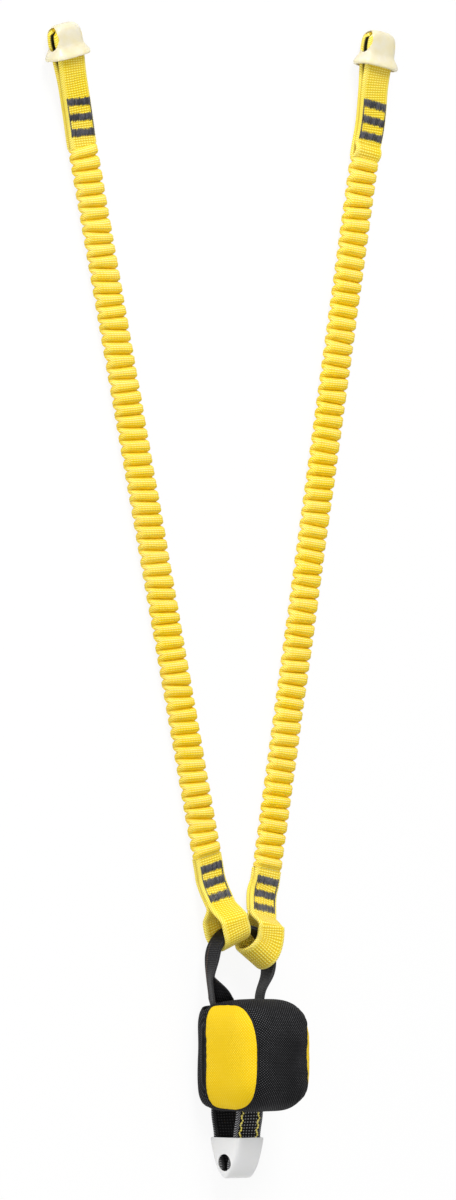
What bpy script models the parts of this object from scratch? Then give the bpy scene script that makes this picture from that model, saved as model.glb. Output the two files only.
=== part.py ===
"""Twin shock-absorbing lanyard, lying on its back.

Two elastic arms of yellow webbing hang on a black webbing hoop, which comes out of a pouch
with the folded tear webbing. A harness loop leaves the pouch's other end. Metres, +Z up,
+Y from the pouch to the arm tips, +X to the right of the pouch's front.
"""

import math

import bmesh
import bpy
from mathutils import Matrix, Vector

# Clearances between neighbouring pieces.
GAP = 0.0003
LAYER_GAP = 0.0004

# Arm webbing, flat at its ends.
WEBBING_WIDTH = 0.024
WEBBING_THICKNESS = 0.0028

# Pleated sleeve and the elastic in it.
PLEAT_COUNT = 58
PLEAT_PITCH = 0.00876
SLEEVE_WIDTH = 0.024
SLEEVE_THICKNESS = 0.006
PLEAT_SWING = 0.0015
SLEEVE_SIDES = 10
BORE_WIDTH = 0.0175
BORE_THICKNESS = 0.002
SLEEVE_FLOOR = 0.0

# Lie of each arm: turn from +Y, sideways offset from the hoop's centre, start of the pleats.
LEFT_ARM_TURN = math.radians(13.25)
LEFT_ARM_OFFSET = -0.0045
LEFT_SLEEVE_START = 0.0752
RIGHT_ARM_TURN = math.radians(-10.5)
RIGHT_ARM_OFFSET = 0.0231
RIGHT_SLEEVE_START = 0.0675

# Bar tacks: three bars of thread, joined by a thread along one side.
TACK_BARS = 3
UPPER_TACK_WIDTH = 0.0212
LOWER_TACK_WIDTH = 0.020
TACK_BAR_LENGTH = 0.0057
TACK_THICKNESS = 0.0007
TACK_SIDE_THREAD = 0.0012
UPPER_TACK_START = 0.0125
UPPER_TACK_PITCH = 0.011
LOWER_TACK_START = 0.0085
LOWER_TACK_PITCH = 0.010

# Upper connector loop and its cap.
UPPER_LENGTH = 0.0885
UPPER_EYE_HALF_HEIGHT = 0.0027
UPPER_EYE_WIDE_LENGTH = 0.0145
UPPER_EYE_OPEN_LENGTH = 0.0445
CAP_WALL = 0.0006
CAP_CORNER = 0.0012
CAP_CORNER_STEPS = 3
CAP_LENGTH = 0.0240
CAP_SKIRT_FLARE = 0.0030
CAP_SKIRT_LENGTH = 0.0065
CAP_EYE_LENGTH = 0.0160
LEFT_CAP_SHIFT = -0.0033
RIGHT_CAP_SHIFT = -0.0064

# Lower loops round the hoop: fold centre seen from the hoop's centre, and fold direction.
FOLD_INNER_RADIUS = 0.0086
FOLD_ROLL = math.radians(6.0)
LEFT_FOLD = Vector((-0.0105, 0.021))
LEFT_FOLD_TURN = math.radians(8.75)
LEFT_FOLD_STRAIGHT = 0.005
RIGHT_FOLD = Vector((0.017, 0.0095))
RIGHT_FOLD_TURN = math.radians(-24.5)
RIGHT_FOLD_STRAIGHT = 0.0125

# Anchor hoop.
HOOP_RADIUS = 0.0256
HOOP_HEIGHT = 0.016
HOOP_WIDTH = 0.0142
HOOP_THICKNESS = 0.0025
HOOP_MOUTH_SPREAD = 0.018
HOOP_TAIL = 0.030

# Pouch, a pillow of fabric panels round the tear webbing.
POUCH_WIDTH = 0.062
POUCH_DEPTH = 0.0702
POUCH_REST_FLAT = 0.0012
POUCH_LENGTH = 0.0788
POUCH_TOP = -0.028
POUCH_OFFSET = -0.0037
POUCH_WALL = 0.0014
POUCH_EXPONENT = 4.0
FRONT_SEAM_INSET = 0.00337
END_SEAM_INSET = 0.004925
BACK_SEAM_INSET = 0.01755
PIPING_RADIUS = 0.0014
PIPING_SINK = 0.0005
MOUTH_LEVEL = 0.016
TOP_MOUTH_OPENING = math.radians(18.5)
TOP_MOUTH_SPAN = 0.90
BOTTOM_MOUTH_OPENING = math.radians(26.5)
BOTTOM_MOUTH_SPAN = 0.70

# Tear webbing folded in the pouch.
TEAR_WIDTH = 0.040
TEAR_THICKNESS = 0.0028
TEAR_LAYERS = 12
TEAR_LENGTH = 0.044

# Harness loop out of the pouch's lower end, and its cap.
HARNESS_WIDTH = 0.0245
HARNESS_THICKNESS = 0.0025
HARNESS_LEVEL = 0.0165
HARNESS_MOUTH_HALF = 0.0118
HARNESS_RIM_HALF = 0.0130
HARNESS_END_HALF = 0.0072
HARNESS_REACH = 0.0466
HARNESS_CAP_LENGTH = 0.0285
HARNESS_CAP_WALL = 0.0008
HARNESS_CAP_CORNER = 0.0018
HARNESS_CAP_TAPER = 0.0020
HARNESS_EYE_LENGTH = 0.012
HARNESS_EYE_DEPTH = 0.0124
HARNESS_EYE_FROM_END = 0.0108
STITCH_INSET = 0.0045
STITCH_WIDTH = 0.0009
STITCH_THICKNESS = 0.0005
STITCH_WAVE = 0.0006
STITCH_WAVES = 3.5


def clear_scene():
    """Remove what the scene holds."""
    for old in list(bpy.data.objects):
        bpy.data.objects.remove(old, do_unlink=True)


def material(name, colour, roughness, alpha=1.0):
    """Return a Principled material of one colour."""
    made = bpy.data.materials.new(name)
    made.use_nodes = True
    shader = made.node_tree.nodes["Principled BSDF"]
    shader.inputs["Base Color"].default_value = (*colour, 1.0)
    shader.inputs["Roughness"].default_value = roughness
    shader.inputs["Metallic"].default_value = 0.0
    shader.inputs["Alpha"].default_value = alpha
    return made


def empty(name, location, turn, parent):
    """Return an empty, which carries a moving body."""
    made = bpy.data.objects.new(name, None)
    made.location = location
    made.rotation_euler = (0.0, 0.0, turn)
    made.parent = parent
    bpy.context.collection.objects.link(made)
    return made


def mesh_object(name, points, faces, finish, parent):
    """Return an object of these points and faces, with its faces turned out."""
    mesh = bpy.data.meshes.new(name)
    shape = bmesh.new()
    corners = [shape.verts.new(point) for point in points]
    for face in faces:
        shape.faces.new([corners[index] for index in face])
    bmesh.ops.recalc_face_normals(shape, faces=shape.faces)
    shape.to_mesh(mesh)
    shape.free()
    mesh.materials.append(finish)
    mesh.shade_smooth()
    mesh.set_sharp_from_angle(angle=math.radians(40.0))
    made = bpy.data.objects.new(name, mesh)
    made.parent = parent
    bpy.context.collection.objects.link(made)
    return made


def skin_rings(rings, closed=False):
    """Return the points and quads that join rings of equally many points."""
    sides = len(rings[0])
    points = [point for ring in rings for point in ring]
    faces = []
    spans = len(rings) if closed else len(rings) - 1
    for row in range(spans):
        low = row * sides
        high = ((row + 1) % len(rings)) * sides
        for side in range(sides):
            turn = (side + 1) % sides
            faces.append((low + side, low + turn, high + turn, high + side))
    return points, faces


def capped_rings(rings):
    """Return a tube through the rings with a flat face on each end."""
    points, faces = skin_rings(rings)
    sides = len(rings[0])
    last = len(points) - sides
    faces.append(tuple(range(sides)))
    faces.append(tuple(range(last, last + sides)))
    return points, faces


def hollow_rings(outer, inner):
    """Return a tube wall between two sets of rings, open at both ends."""
    points, faces = skin_rings(outer)
    inner_points, inner_faces = skin_rings(inner)
    sides = len(outer[0])
    shift = len(points)
    faces += [tuple(index + shift for index in face) for face in inner_faces]
    outer_last = shift - sides
    inner_last = shift + len(inner_points) - sides
    for side in range(sides):
        turn = (side + 1) % sides
        faces.append((side, turn, shift + turn, shift + side))
        faces.append((outer_last + side, outer_last + turn, inner_last + turn, inner_last + side))
    return points + inner_points, faces


def smooth(value):
    """Return an ease from 0 to 1 over that range of value."""
    held = min(1.0, max(0.0, value))
    return held * held * (3.0 - 2.0 * held)


def mix(start, end, share):
    """Return the value at a share of the way."""
    return start + (end - start) * share


def strap_ring(centre, across, normal, width, thickness):
    """Return the six-cornered section of a webbing strap."""
    edge = 0.5 * width
    flat = edge - 0.4 * thickness
    half = 0.5 * thickness
    corners = ((-edge, 0.0), (-flat, half), (flat, half), (edge, 0.0), (flat, -half), (-flat, -half))
    return [centre + across * side + normal * rise for side, rise in corners]


def strap(name, stations, thickness, finish, parent):
    """Return a webbing strap through stations of centre, across direction and width."""
    rings = []
    for index, (centre, across, width) in enumerate(stations):
        before = stations[max(index - 1, 0)][0]
        after = stations[min(index + 1, len(stations) - 1)][0]
        normal = across.cross((after - before).normalized()).normalized()
        side = (after - before).normalized().cross(normal).normalized()
        rings.append(strap_ring(centre, side, normal, width, thickness))
    points, faces = capped_rings(rings)
    return mesh_object(name, points, faces, finish, parent)


def oval_ring(centre, half_width, half_depth, sides, power=0.55):
    """Return a flattened round section in the plane across Y."""
    ring = []
    for side in range(sides):
        angle = math.tau * (side + 0.5) / sides
        reach = math.copysign(abs(math.cos(angle)) ** power, math.cos(angle))
        rise = math.copysign(abs(math.sin(angle)) ** power, math.sin(angle))
        ring.append(centre + Vector((half_width * reach, 0.0, half_depth * rise)))
    return ring


def sleeve_level():
    """Return the height of the sleeve's middle above the surface it lies on."""
    return SLEEVE_FLOOR + 0.5 * SLEEVE_THICKNESS + PLEAT_SWING


def sleeve_length():
    """Return the gathered length of a sleeve."""
    return PLEAT_COUNT * PLEAT_PITCH


def pleated_sleeve(name, offset, start, finish, parent):
    """Return the gathered webbing tube: a flat tube that winds up and down, with a plain bore."""
    outer = []
    for fold in range(2 * PLEAT_COUNT + 1):
        rise = PLEAT_SWING if fold % 2 else -PLEAT_SWING
        centre = Vector((offset, start + 0.5 * fold * PLEAT_PITCH, sleeve_level() + rise))
        outer.append(oval_ring(centre, 0.5 * SLEEVE_WIDTH, 0.5 * SLEEVE_THICKNESS, SLEEVE_SIDES))
    inner = []
    for along in (start, start + sleeve_length()):
        centre = Vector((offset, along, sleeve_level()))
        inner.append(oval_ring(centre, 0.5 * BORE_WIDTH, 0.5 * BORE_THICKNESS, SLEEVE_SIDES))
    points, faces = hollow_rings(outer, inner)
    return mesh_object(name, points, faces, finish, parent)


def elastic_core(name, offset, start, finish, parent):
    """Return the elastic strip in the sleeve's bore."""
    rings = []
    for along in (start, start + sleeve_length()):
        centre = Vector((offset, along, sleeve_level()))
        half_width = 0.5 * BORE_WIDTH - 2.0 * GAP
        rings.append(oval_ring(centre, half_width, 0.5 * BORE_THICKNESS - GAP, SLEEVE_SIDES))
    points, faces = capped_rings(rings)
    return mesh_object(name, points, faces, finish, parent)


def layer_half():
    """Return the height of a webbing layer's middle above the middle of two sewn layers."""
    return 0.5 * (WEBBING_THICKNESS + LAYER_GAP)


def cap_level():
    """Return the height of the middle of an upper cap: its skirt clears the surface."""
    return cap_outer_half_depth() + CAP_SKIRT_FLARE + GAP


def cap_outer_half_depth():
    """Return half the depth of an upper cap's body."""
    return UPPER_EYE_HALF_HEIGHT + WEBBING_THICKNESS + GAP + CAP_WALL


def skirt_start():
    """Return where an upper cap's skirt begins, as a distance from the pleats."""
    return UPPER_LENGTH - CAP_LENGTH


def upper_level(along):
    """Return the middle height of the upper end at a distance from the pleats."""
    return mix(sleeve_level(), cap_level(), smooth(along / skirt_start()))


def upper_half(along):
    """Return half the spread of the two layers of the upper end."""
    wide = UPPER_EYE_HALF_HEIGHT + 0.5 * WEBBING_THICKNESS
    opens = UPPER_LENGTH - UPPER_EYE_OPEN_LENGTH
    span = UPPER_EYE_OPEN_LENGTH - UPPER_EYE_WIDE_LENGTH
    return mix(layer_half(), wide, smooth((along - opens) / span))


def upper_side(offset, shift, along):
    """Return the sideways place of the upper end, which leans over to its cap."""
    return offset + shift * smooth((along - UPPER_TACK_START) / (skirt_start() - UPPER_TACK_START))


def upper_loop(name, offset, shift, base, finish, parent):
    """Return the strap that runs up, round the connector eye and back down."""
    across = Vector((1.0, 0.0, 0.0))
    bend = UPPER_EYE_HALF_HEIGHT + 0.5 * WEBBING_THICKNESS
    turn_at = UPPER_LENGTH - CAP_WALL - GAP - bend - 0.5 * WEBBING_THICKNESS
    steps = 14
    lower = []
    upper = []
    for step in range(steps + 1):
        along = mix(GAP, turn_at, step / steps)
        level = upper_level(along)
        half = upper_half(along)
        side = upper_side(offset, shift, along)
        lower.append(Vector((side, base + along, level - half)))
        upper.append(Vector((side, base + along, level + half)))
    arc = []
    for step in range(1, 7):
        angle = math.pi * step / 7 - 0.5 * math.pi
        middle = Vector((offset + shift, base + turn_at, cap_level()))
        arc.append(middle + Vector((0.0, bend * math.cos(angle), bend * math.sin(angle))))
    centres = lower + arc + upper[::-1]
    stations = [(centre, across, WEBBING_WIDTH) for centre in centres]
    return strap(name, stations, WEBBING_THICKNESS, finish, parent)


def lower_path(offset, start, fold_at, fold_turn, straight):
    """Return a function from the distance past the fold to the loop's middle line."""
    reach = start - fold_at.y
    tack_end = reach - LOWER_TACK_START - (TACK_BARS - 1) * LOWER_TACK_PITCH - TACK_BAR_LENGTH
    level_end = tack_end + 2.1 * LOWER_TACK_PITCH
    lean_end = reach - 0.8 * LOWER_TACK_START

    def middle(distance):
        share = min(1.0, max(0.0, distance / tack_end))
        lean = -math.tan(fold_turn) * tack_end * share * (1.0 - share) ** 2
        side = mix(fold_at.x, offset, smooth((distance - straight) / (lean_end - straight))) + lean
        drop = smooth((distance - straight) / (level_end - straight))
        return Vector((side, fold_at.y + distance, mix(HOOP_HEIGHT, sleeve_level(), drop)))

    def half(distance):
        wide = FOLD_INNER_RADIUS + 0.5 * WEBBING_THICKNESS
        close = smooth((distance - straight) / (tack_end - straight))
        return mix(wide, layer_half(), close)

    return middle, half, tack_end, reach


def lower_loop(name, offset, start, fold_at, fold_turn, straight, finish, parent):
    """Return the strap that leaves the pleats, folds round the hoop and comes back."""
    middle, half, tack_end, reach = lower_path(offset, start, fold_at, fold_turn, straight)
    front = []
    rear = []
    steps = 15
    for step in range(steps + 1):
        distance = (reach - GAP) * step / steps
        loosen = 1.0 - smooth(distance / tack_end)
        centre = middle(distance)
        roll = FOLD_ROLL * loosen
        tipped = Vector((math.cos(roll), 0.0, math.sin(roll)))
        across = Matrix.Rotation(fold_turn * loosen, 3, "Z") @ tipped
        up = Vector((0.0, 0.0, half(distance)))
        front.append((centre + up, across, WEBBING_WIDTH))
        rear.append((centre - up, across, WEBBING_WIDTH))
    arc = []
    radius = FOLD_INNER_RADIUS + 0.5 * WEBBING_THICKNESS
    inward = Matrix.Rotation(fold_turn, 3, "Z") @ Vector((0.0, -1.0, 0.0))
    across = front[0][1]
    for step in range(1, 10):
        angle = 0.5 * math.pi - math.pi * step / 10
        rise = Vector((0.0, 0.0, radius * math.sin(angle)))
        arc.append((middle(0.0) + inward * (radius * math.cos(angle)) + rise, across, WEBBING_WIDTH))
    stations = front[::-1] + arc + rear
    return strap(name, stations, WEBBING_THICKNESS, finish, parent)


def bar_tacks(name, width, first, pitch, face, side, finish, parent):
    """Return three bars of thread that follow a strap's face, joined along one side.

    face(distance past the first bar) gives the face's sideways place and height."""
    spine = side * 0.5 * width
    sides = sorted((-spine, spine, spine - side * TACK_SIDE_THREAD))
    spine_column = 1 if side > 0.0 else 0
    half = 0.5 * TACK_BAR_LENGTH
    rows = []
    for bar in range(TACK_BARS):
        rows += [bar * pitch - half, bar * pitch, bar * pitch + half]
    points = []
    for rise in (0.0, TACK_THICKNESS):
        for row in rows:
            middle, height = face(row)
            points += [Vector((middle + x, first + row, height + rise)) for x in sides]
    shift = len(rows) * len(sides)
    cells = set()
    for row in range(len(rows) - 1):
        cells.add((row, spine_column))
        if row % 3 < 2:
            cells.add((row, 1 - spine_column))
    faces = []
    for row, column in sorted(cells):
        low = row * 3 + column
        quad = (low, low + 1, low + 4, low + 3)
        faces.append(quad)
        faces.append(tuple(index + shift for index in quad))
        beside = ((row - 1, column), (row, column + 1), (row + 1, column), (row, column - 1))
        for edge, neighbour in enumerate(beside):
            if neighbour not in cells:
                start, end = quad[edge], quad[(edge + 1) % 4]
                faces.append((start, end, shift + end, shift + start))
    return mesh_object(name, points, faces, finish, parent)


def cap_ring(offset, along, level, half_width, half_depth, corner):
    """Return an oblong section of a cap with round corners."""
    ring = []
    for quarter, (right, up) in enumerate(((1.0, 1.0), (-1.0, 1.0), (-1.0, -1.0), (1.0, -1.0))):
        x = right * (half_width - corner)
        z = up * (half_depth - corner)
        for step in range(CAP_CORNER_STEPS + 1):
            angle = 0.5 * math.pi * (quarter + step / CAP_CORNER_STEPS)
            aside = offset + x + corner * math.cos(angle)
            ring.append(Vector((aside, along, level + z + corner * math.sin(angle))))
    return ring


def closed_shell(outer, inner):
    """Return a cup between outer and inner rings, open at its first ring."""
    points, faces = skin_rings(outer)
    inner_points, inner_faces = skin_rings(inner)
    sides = len(outer[0])
    shift = len(points)
    faces += [tuple(index + shift for index in face) for face in inner_faces]
    for side in range(sides):
        turn = (side + 1) % sides
        faces.append((side, turn, shift + turn, shift + side))
    faces.append(tuple(range(shift - sides, shift)))
    inner_last = shift + len(inner_points) - sides
    faces.append(tuple(range(inner_last, inner_last + sides)))
    return points + inner_points, faces


def eye_cutter(name, centre, half_length, half_height, reach, parent):
    """Return an oval cutter that runs through a cap from side to side."""
    rings = []
    for side in (-reach, reach):
        ring = []
        for step in range(16):
            angle = math.tau * step / 16
            along = half_length * math.cos(angle)
            ring.append(centre + Vector((side, along, half_height * math.sin(angle))))
        rings.append(ring)
    points, faces = capped_rings(rings)
    cutter = mesh_object(name, points, faces, None, parent)
    cutter.hide_render = True
    cutter.display_type = "WIRE"
    return cutter


def cut(target, cutter):
    """Cut one object with another."""
    modifier = target.modifiers.new("eye", "BOOLEAN")
    modifier.operation = "DIFFERENCE"
    modifier.solver = "EXACT"
    modifier.object = cutter


def upper_cap(name, offset, base, finish, parent):
    """Return the cap on a connector loop: a cup with a flared skirt and an eye in each side."""
    wide = 0.5 * WEBBING_WIDTH + GAP + CAP_WALL
    deep = cap_outer_half_depth()
    level = cap_level()
    start = skirt_start()
    neck = start + CAP_SKIRT_LENGTH
    outer_profile = (
        (start, CAP_SKIRT_FLARE),
        (start + 0.3 * CAP_SKIRT_LENGTH, 0.85 * CAP_SKIRT_FLARE),
        (start + 0.7 * CAP_SKIRT_LENGTH, 0.3 * CAP_SKIRT_FLARE),
        (neck, 0.0),
        (UPPER_LENGTH - 0.55 * deep, 0.0),
    )
    corner = CAP_CORNER + CAP_WALL
    outer = [cap_ring(offset, base + along, level, wide + flare, deep + flare, corner + max(flare, 0.0))
             for along, flare in outer_profile]
    outer.append(cap_ring(offset, base + UPPER_LENGTH - 0.15 * deep, level, wide - 0.04 * deep,
                          0.82 * deep, corner))
    outer.append(cap_ring(offset, base + UPPER_LENGTH, level, wide - 0.18 * deep, 0.5 * deep, corner))
    inner = [cap_ring(offset, base + along, level, wide + flare - CAP_WALL, deep + flare - CAP_WALL,
                      CAP_CORNER + flare)
             for along, flare in outer_profile[:4]]
    roof = UPPER_LENGTH - CAP_WALL
    bend = deep - CAP_WALL
    inner.append(cap_ring(offset, base + roof - 0.6 * bend, level, wide - CAP_WALL, bend, CAP_CORNER))
    inner.append(cap_ring(offset, base + roof, level, wide - CAP_WALL, 0.5 * bend, CAP_CORNER))
    points, faces = closed_shell(outer, inner)
    cap = mesh_object(name, points, faces, finish, parent)
    eye = Vector((offset, base + roof - 0.5 * CAP_EYE_LENGTH - 0.1 * bend, level))
    cutter = eye_cutter(name + "_eye_cutter", eye, 0.5 * CAP_EYE_LENGTH, 0.86 * deep, 2.0 * wide, parent)
    cut(cap, cutter)
    return cap


def pouch_centre():
    """Return the middle of the pouch, whose back is pressed flat where it lies."""
    return Vector((POUCH_OFFSET, POUCH_TOP - 0.5 * POUCH_LENGTH, 0.5 * POUCH_DEPTH - POUCH_REST_FLAT))


def pouch_point(turn, tilt):
    """Return a point of the pouch's skin: turn goes round its ends, tilt to its sides."""
    power = POUCH_EXPONENT
    side = math.sin(tilt)
    round_ = math.cos(tilt)
    reach = (abs(side) ** power + abs(round_) ** power) ** (-1.0 / power)
    lateral = 0.5 * POUCH_WIDTH * side * reach
    share = round_ * reach
    along = math.cos(turn)
    rise = math.sin(turn)
    size = (abs(along / (0.5 * POUCH_LENGTH)) ** power + abs(rise / (0.5 * POUCH_DEPTH)) ** power)
    radius = size ** (-1.0 / power) * share
    point = pouch_centre() + Vector((lateral, radius * along, radius * rise))
    point.z = max(0.0, point.z)
    return point


def seam_tilt(turn):
    """Return the tilt of the seam round a side panel."""
    rise = math.sin(turn)
    end = 1.0 - END_SEAM_INSET / (0.5 * POUCH_LENGTH)
    if rise >= 0.0:
        share = mix(end, 1.0 - FRONT_SEAM_INSET / (0.5 * POUCH_DEPTH), rise)
    else:
        share = mix(end, 1.0 - BACK_SEAM_INSET / (0.5 * POUCH_DEPTH), smooth(-rise))
    side = (1.0 - share ** POUCH_EXPONENT) ** (1.0 / POUCH_EXPONENT)
    return math.atan2(side, share)


def seam_margin():
    """Return the tilt between a seam and the edge of the panel beside it."""
    return 0.92 * (PIPING_RADIUS + GAP) / (0.5 * POUCH_WIDTH)


def thicken(panel):
    """Give an open panel its fabric's thickness, inwards."""
    modifier = panel.modifiers.new("fabric", "SOLIDIFY")
    modifier.thickness = POUCH_WALL
    modifier.offset = -1.0
    modifier.use_even_offset = True


def face_panel_out(panel):
    """Turn an open panel's faces away from the pouch's middle."""
    middle = pouch_centre()
    shape = bmesh.new()
    shape.from_mesh(panel.data)
    for face in shape.faces:
        if face.normal.dot(face.calc_center_median() - middle) < 0.0:
            face.normal_flip()
    shape.to_mesh(panel.data)
    shape.free()


def mouth_turn():
    """Return how far the line between front and back panels lies behind the pouch's middle."""
    return math.atan2(pouch_centre().z - MOUTH_LEVEL, 0.5 * POUCH_LENGTH)


def mouth_lens(share, span):
    """Return how open a mouth is, from 1 at its middle to 0 at its ends."""
    if abs(share) >= span:
        return 0.0
    return math.sqrt(1.0 - (abs(share) / span) ** 4)


def wrap_panel(name, is_front, finish, parent):
    """Return the front or back panel, from mouth to mouth and from seam to seam."""
    rows = 18 if is_front else 12
    columns = 14
    edge = GAP / (0.5 * POUCH_LENGTH)
    grid = []
    for row in range(rows + 1):
        line = []
        for column in range(columns + 1):
            share = mix(-1.0, 1.0, column / columns)
            top = TOP_MOUTH_OPENING * mouth_lens(share, TOP_MOUTH_SPAN) + edge
            bottom = BOTTOM_MOUTH_OPENING * mouth_lens(share, BOTTOM_MOUTH_SPAN) + edge
            if is_front:
                start = -mouth_turn() + top
                end = math.pi + mouth_turn() - bottom
            else:
                start = math.pi + mouth_turn() + bottom
                end = math.tau - mouth_turn() - top
            turn = mix(start, end, row / rows)
            tilt = share * (seam_tilt(turn) - seam_margin())
            line.append(pouch_point(turn, tilt))
        grid.append(line)
    points = [point for line in grid for point in line]
    width = columns + 1
    faces = []
    for row in range(rows):
        for column in range(columns):
            corner = row * width + column
            faces.append((corner, corner + 1, corner + width + 1, corner + width))
    panel = mesh_object(name, points, faces, finish, parent)
    face_panel_out(panel)
    thicken(panel)
    return panel


def side_panel(name, side, finish, parent):
    """Return a side panel, a round-cornered disc that swells outwards."""
    rings = 6
    sides = 28
    points = []
    for ring in range(rings):
        share = ring / rings
        for step in range(sides):
            turn = math.tau * (step + 0.5) / sides
            tilt = mix(seam_tilt(turn) + seam_margin(), 0.5 * math.pi, share)
            points.append(pouch_point(turn, side * tilt))
    points.append(pouch_point(0.0, side * 0.5 * math.pi))
    faces = []
    for ring in range(rings - 1):
        for step in range(sides):
            after = (step + 1) % sides
            low = ring * sides
            faces.append((low + step, low + after, low + sides + after, low + sides + step))
    centre = len(points) - 1
    low = (rings - 1) * sides
    for step in range(sides):
        faces.append((low + step, low + (step + 1) % sides, centre))
    panel = mesh_object(name, points, faces, finish, parent)
    face_panel_out(panel)
    thicken(panel)
    return panel


def piping(name, side, finish, parent):
    """Return the corded edge that closes the seam round a side panel."""
    count = 40
    path = [pouch_point(math.tau * (k + 0.5) / count, side * seam_tilt(math.tau * (k + 0.5) / count))
            for k in range(count)]
    middle = pouch_centre()
    rings = []
    for index, point in enumerate(path):
        along = (path[(index + 1) % count] - path[index - 1]).normalized()
        outward = (point - middle).normalized()
        across = along.cross(outward).normalized()
        outward = across.cross(along).normalized()
        ring = []
        for step in range(6):
            angle = math.tau * step / 6
            offset = across * math.cos(angle) + outward * math.sin(angle)
            ring.append(point - outward * PIPING_SINK + offset * PIPING_RADIUS)
        rings.append(ring)
    points, faces = skin_rings(rings, closed=True)
    return mesh_object(name, points, faces, finish, parent)


def anchor_hoop(name, finish, parent):
    """Return the hoop: a half circle on edge, whose strands close in and enter the pouch."""
    arc_steps = 20
    strand_steps = 8
    centres = []
    tail_at = POUCH_TOP - HOOP_TAIL
    for step in range(arc_steps + 1):
        angle = math.pi * step / arc_steps
        centres.append(Vector((HOOP_RADIUS * math.cos(angle), HOOP_RADIUS * math.sin(angle), HOOP_HEIGHT)))
    for side in (1.0, -1.0):
        strand = []
        for step in range(1, strand_steps + 1):
            share = step / strand_steps
            spread = mix(HOOP_RADIUS * side, POUCH_OFFSET + HOOP_MOUTH_SPREAD * side, smooth(share * 1.1))
            strand.append(Vector((spread, tail_at * share, HOOP_HEIGHT)))
        centres = strand[::-1] + centres if side > 0.0 else centres + strand
    up = Vector((0.0, 0.0, 1.0))
    stations = [(centre, up, HOOP_WIDTH) for centre in centres]
    return strap(name, stations, HOOP_THICKNESS, finish, parent)


def tear_base():
    """Return the height of the middle of the lowest tear webbing layer, on the hoop's edges."""
    return HOOP_HEIGHT + 0.5 * HOOP_WIDTH + GAP + 0.5 * TEAR_THICKNESS


def tear_pack(name, finish, parent):
    """Return the tear webbing, folded to and fro in layers."""
    pitch = TEAR_THICKNESS + LAYER_GAP
    middle = pouch_centre()
    half = 0.5 * TEAR_LENGTH
    centres = []
    for layer in range(TEAR_LAYERS):
        level = tear_base() + layer * pitch
        way = 1.0 if layer % 2 == 0 else -1.0
        for share in (-1.0, 0.0, 1.0):
            centres.append(Vector((middle.x, middle.y + way * share * half, level)))
        if layer < TEAR_LAYERS - 1:
            for step in range(1, 4):
                angle = math.pi * step / 4 - 0.5 * math.pi
                bulge = way * (half + 0.5 * pitch * math.cos(angle))
                rise = 0.5 * pitch * (1.0 + math.sin(angle))
                centres.append(Vector((middle.x, middle.y + bulge, level + rise)))
    rings = []
    across = Vector((1.0, 0.0, 0.0))
    for index, centre in enumerate(centres):
        before = centres[max(index - 1, 0)]
        after = centres[min(index + 1, len(centres) - 1)]
        normal = across.cross((after - before).normalized())
        edge = across * (0.5 * TEAR_WIDTH)
        rise = normal * (0.5 * TEAR_THICKNESS)
        corners = ((-1.0, -1.0), (1.0, -1.0), (1.0, 1.0), (-1.0, 1.0))
        rings.append([centre + edge * side + rise * up for side, up in corners])
    points, faces = capped_rings(rings)
    return mesh_object(name, points, faces, finish, parent)


def pouch_bottom():
    """Return where the pouch ends towards the harness."""
    return POUCH_TOP - POUCH_LENGTH


def harness_tail():
    """Return how far the harness loop runs into the pouch, up to the folded tear webbing."""
    fold = 0.5 * (2.0 * TEAR_THICKNESS + LAYER_GAP)
    tear_end = pouch_centre().y - 0.5 * TEAR_LENGTH - fold
    return tear_end - GAP - pouch_bottom()


def harness_half(reach):
    """Return half the spread of the harness loop's strands, by distance from the mouth."""
    rim = HARNESS_REACH - HARNESS_CAP_LENGTH
    if reach < rim:
        return mix(HARNESS_MOUTH_HALF, HARNESS_RIM_HALF, smooth(reach / rim))
    return mix(HARNESS_RIM_HALF, HARNESS_END_HALF, smooth((reach - rim) / (0.72 * HARNESS_CAP_LENGTH)))


def harness_loop(name, finish, parent):
    """Return the strap that leaves the pouch, turns round and comes back."""
    across = Vector((1.0, 0.0, 0.0))
    turn_at = HARNESS_REACH - HARNESS_CAP_WALL - GAP - 0.5 * HARNESS_THICKNESS - HARNESS_END_HALF
    upper = []
    lower = []
    steps = 12
    for step in range(steps + 1):
        reach = mix(-harness_tail(), turn_at, step / steps)
        half = harness_half(reach)
        upper.append(Vector((POUCH_OFFSET, pouch_bottom() - reach, HARNESS_LEVEL + half)))
        lower.append(Vector((POUCH_OFFSET, pouch_bottom() - reach, HARNESS_LEVEL - half)))
    half = harness_half(turn_at)
    arc = []
    for step in range(1, 11):
        angle = 0.5 * math.pi - math.pi * step / 11
        along = pouch_bottom() - turn_at - HARNESS_END_HALF * math.cos(angle)
        arc.append(Vector((POUCH_OFFSET, along, HARNESS_LEVEL + half * math.sin(angle))))
    stations = [(centre, across, HARNESS_WIDTH) for centre in upper + arc + lower[::-1]]
    return strap(name, stations, HARNESS_THICKNESS, finish, parent)


def harness_stitching(name, side, finish, parent):
    """Return a wavy line of thread on the front strand, near one edge."""
    rim = HARNESS_REACH - HARNESS_CAP_LENGTH
    start = 0.002
    end = rim - GAP
    steps = 24
    rings = []
    lift = 0.5 * HARNESS_THICKNESS + GAP
    for step in range(steps + 1):
        reach = mix(start, end, step / steps)
        wave = STITCH_WAVE * math.sin(math.tau * STITCH_WAVES * step / steps)
        x = POUCH_OFFSET + side * (0.5 * HARNESS_WIDTH - STITCH_INSET) + wave
        z = HARNESS_LEVEL + harness_half(reach) + lift
        low = Vector((x, pouch_bottom() - reach, z))
        edge = Vector((0.5 * STITCH_WIDTH, 0.0, 0.0))
        rise = Vector((0.0, 0.0, STITCH_THICKNESS))
        rings.append([low - edge, low + edge, low + edge + rise, low - edge + rise])
    points, faces = capped_rings(rings)
    return mesh_object(name, points, faces, finish, parent)


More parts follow.
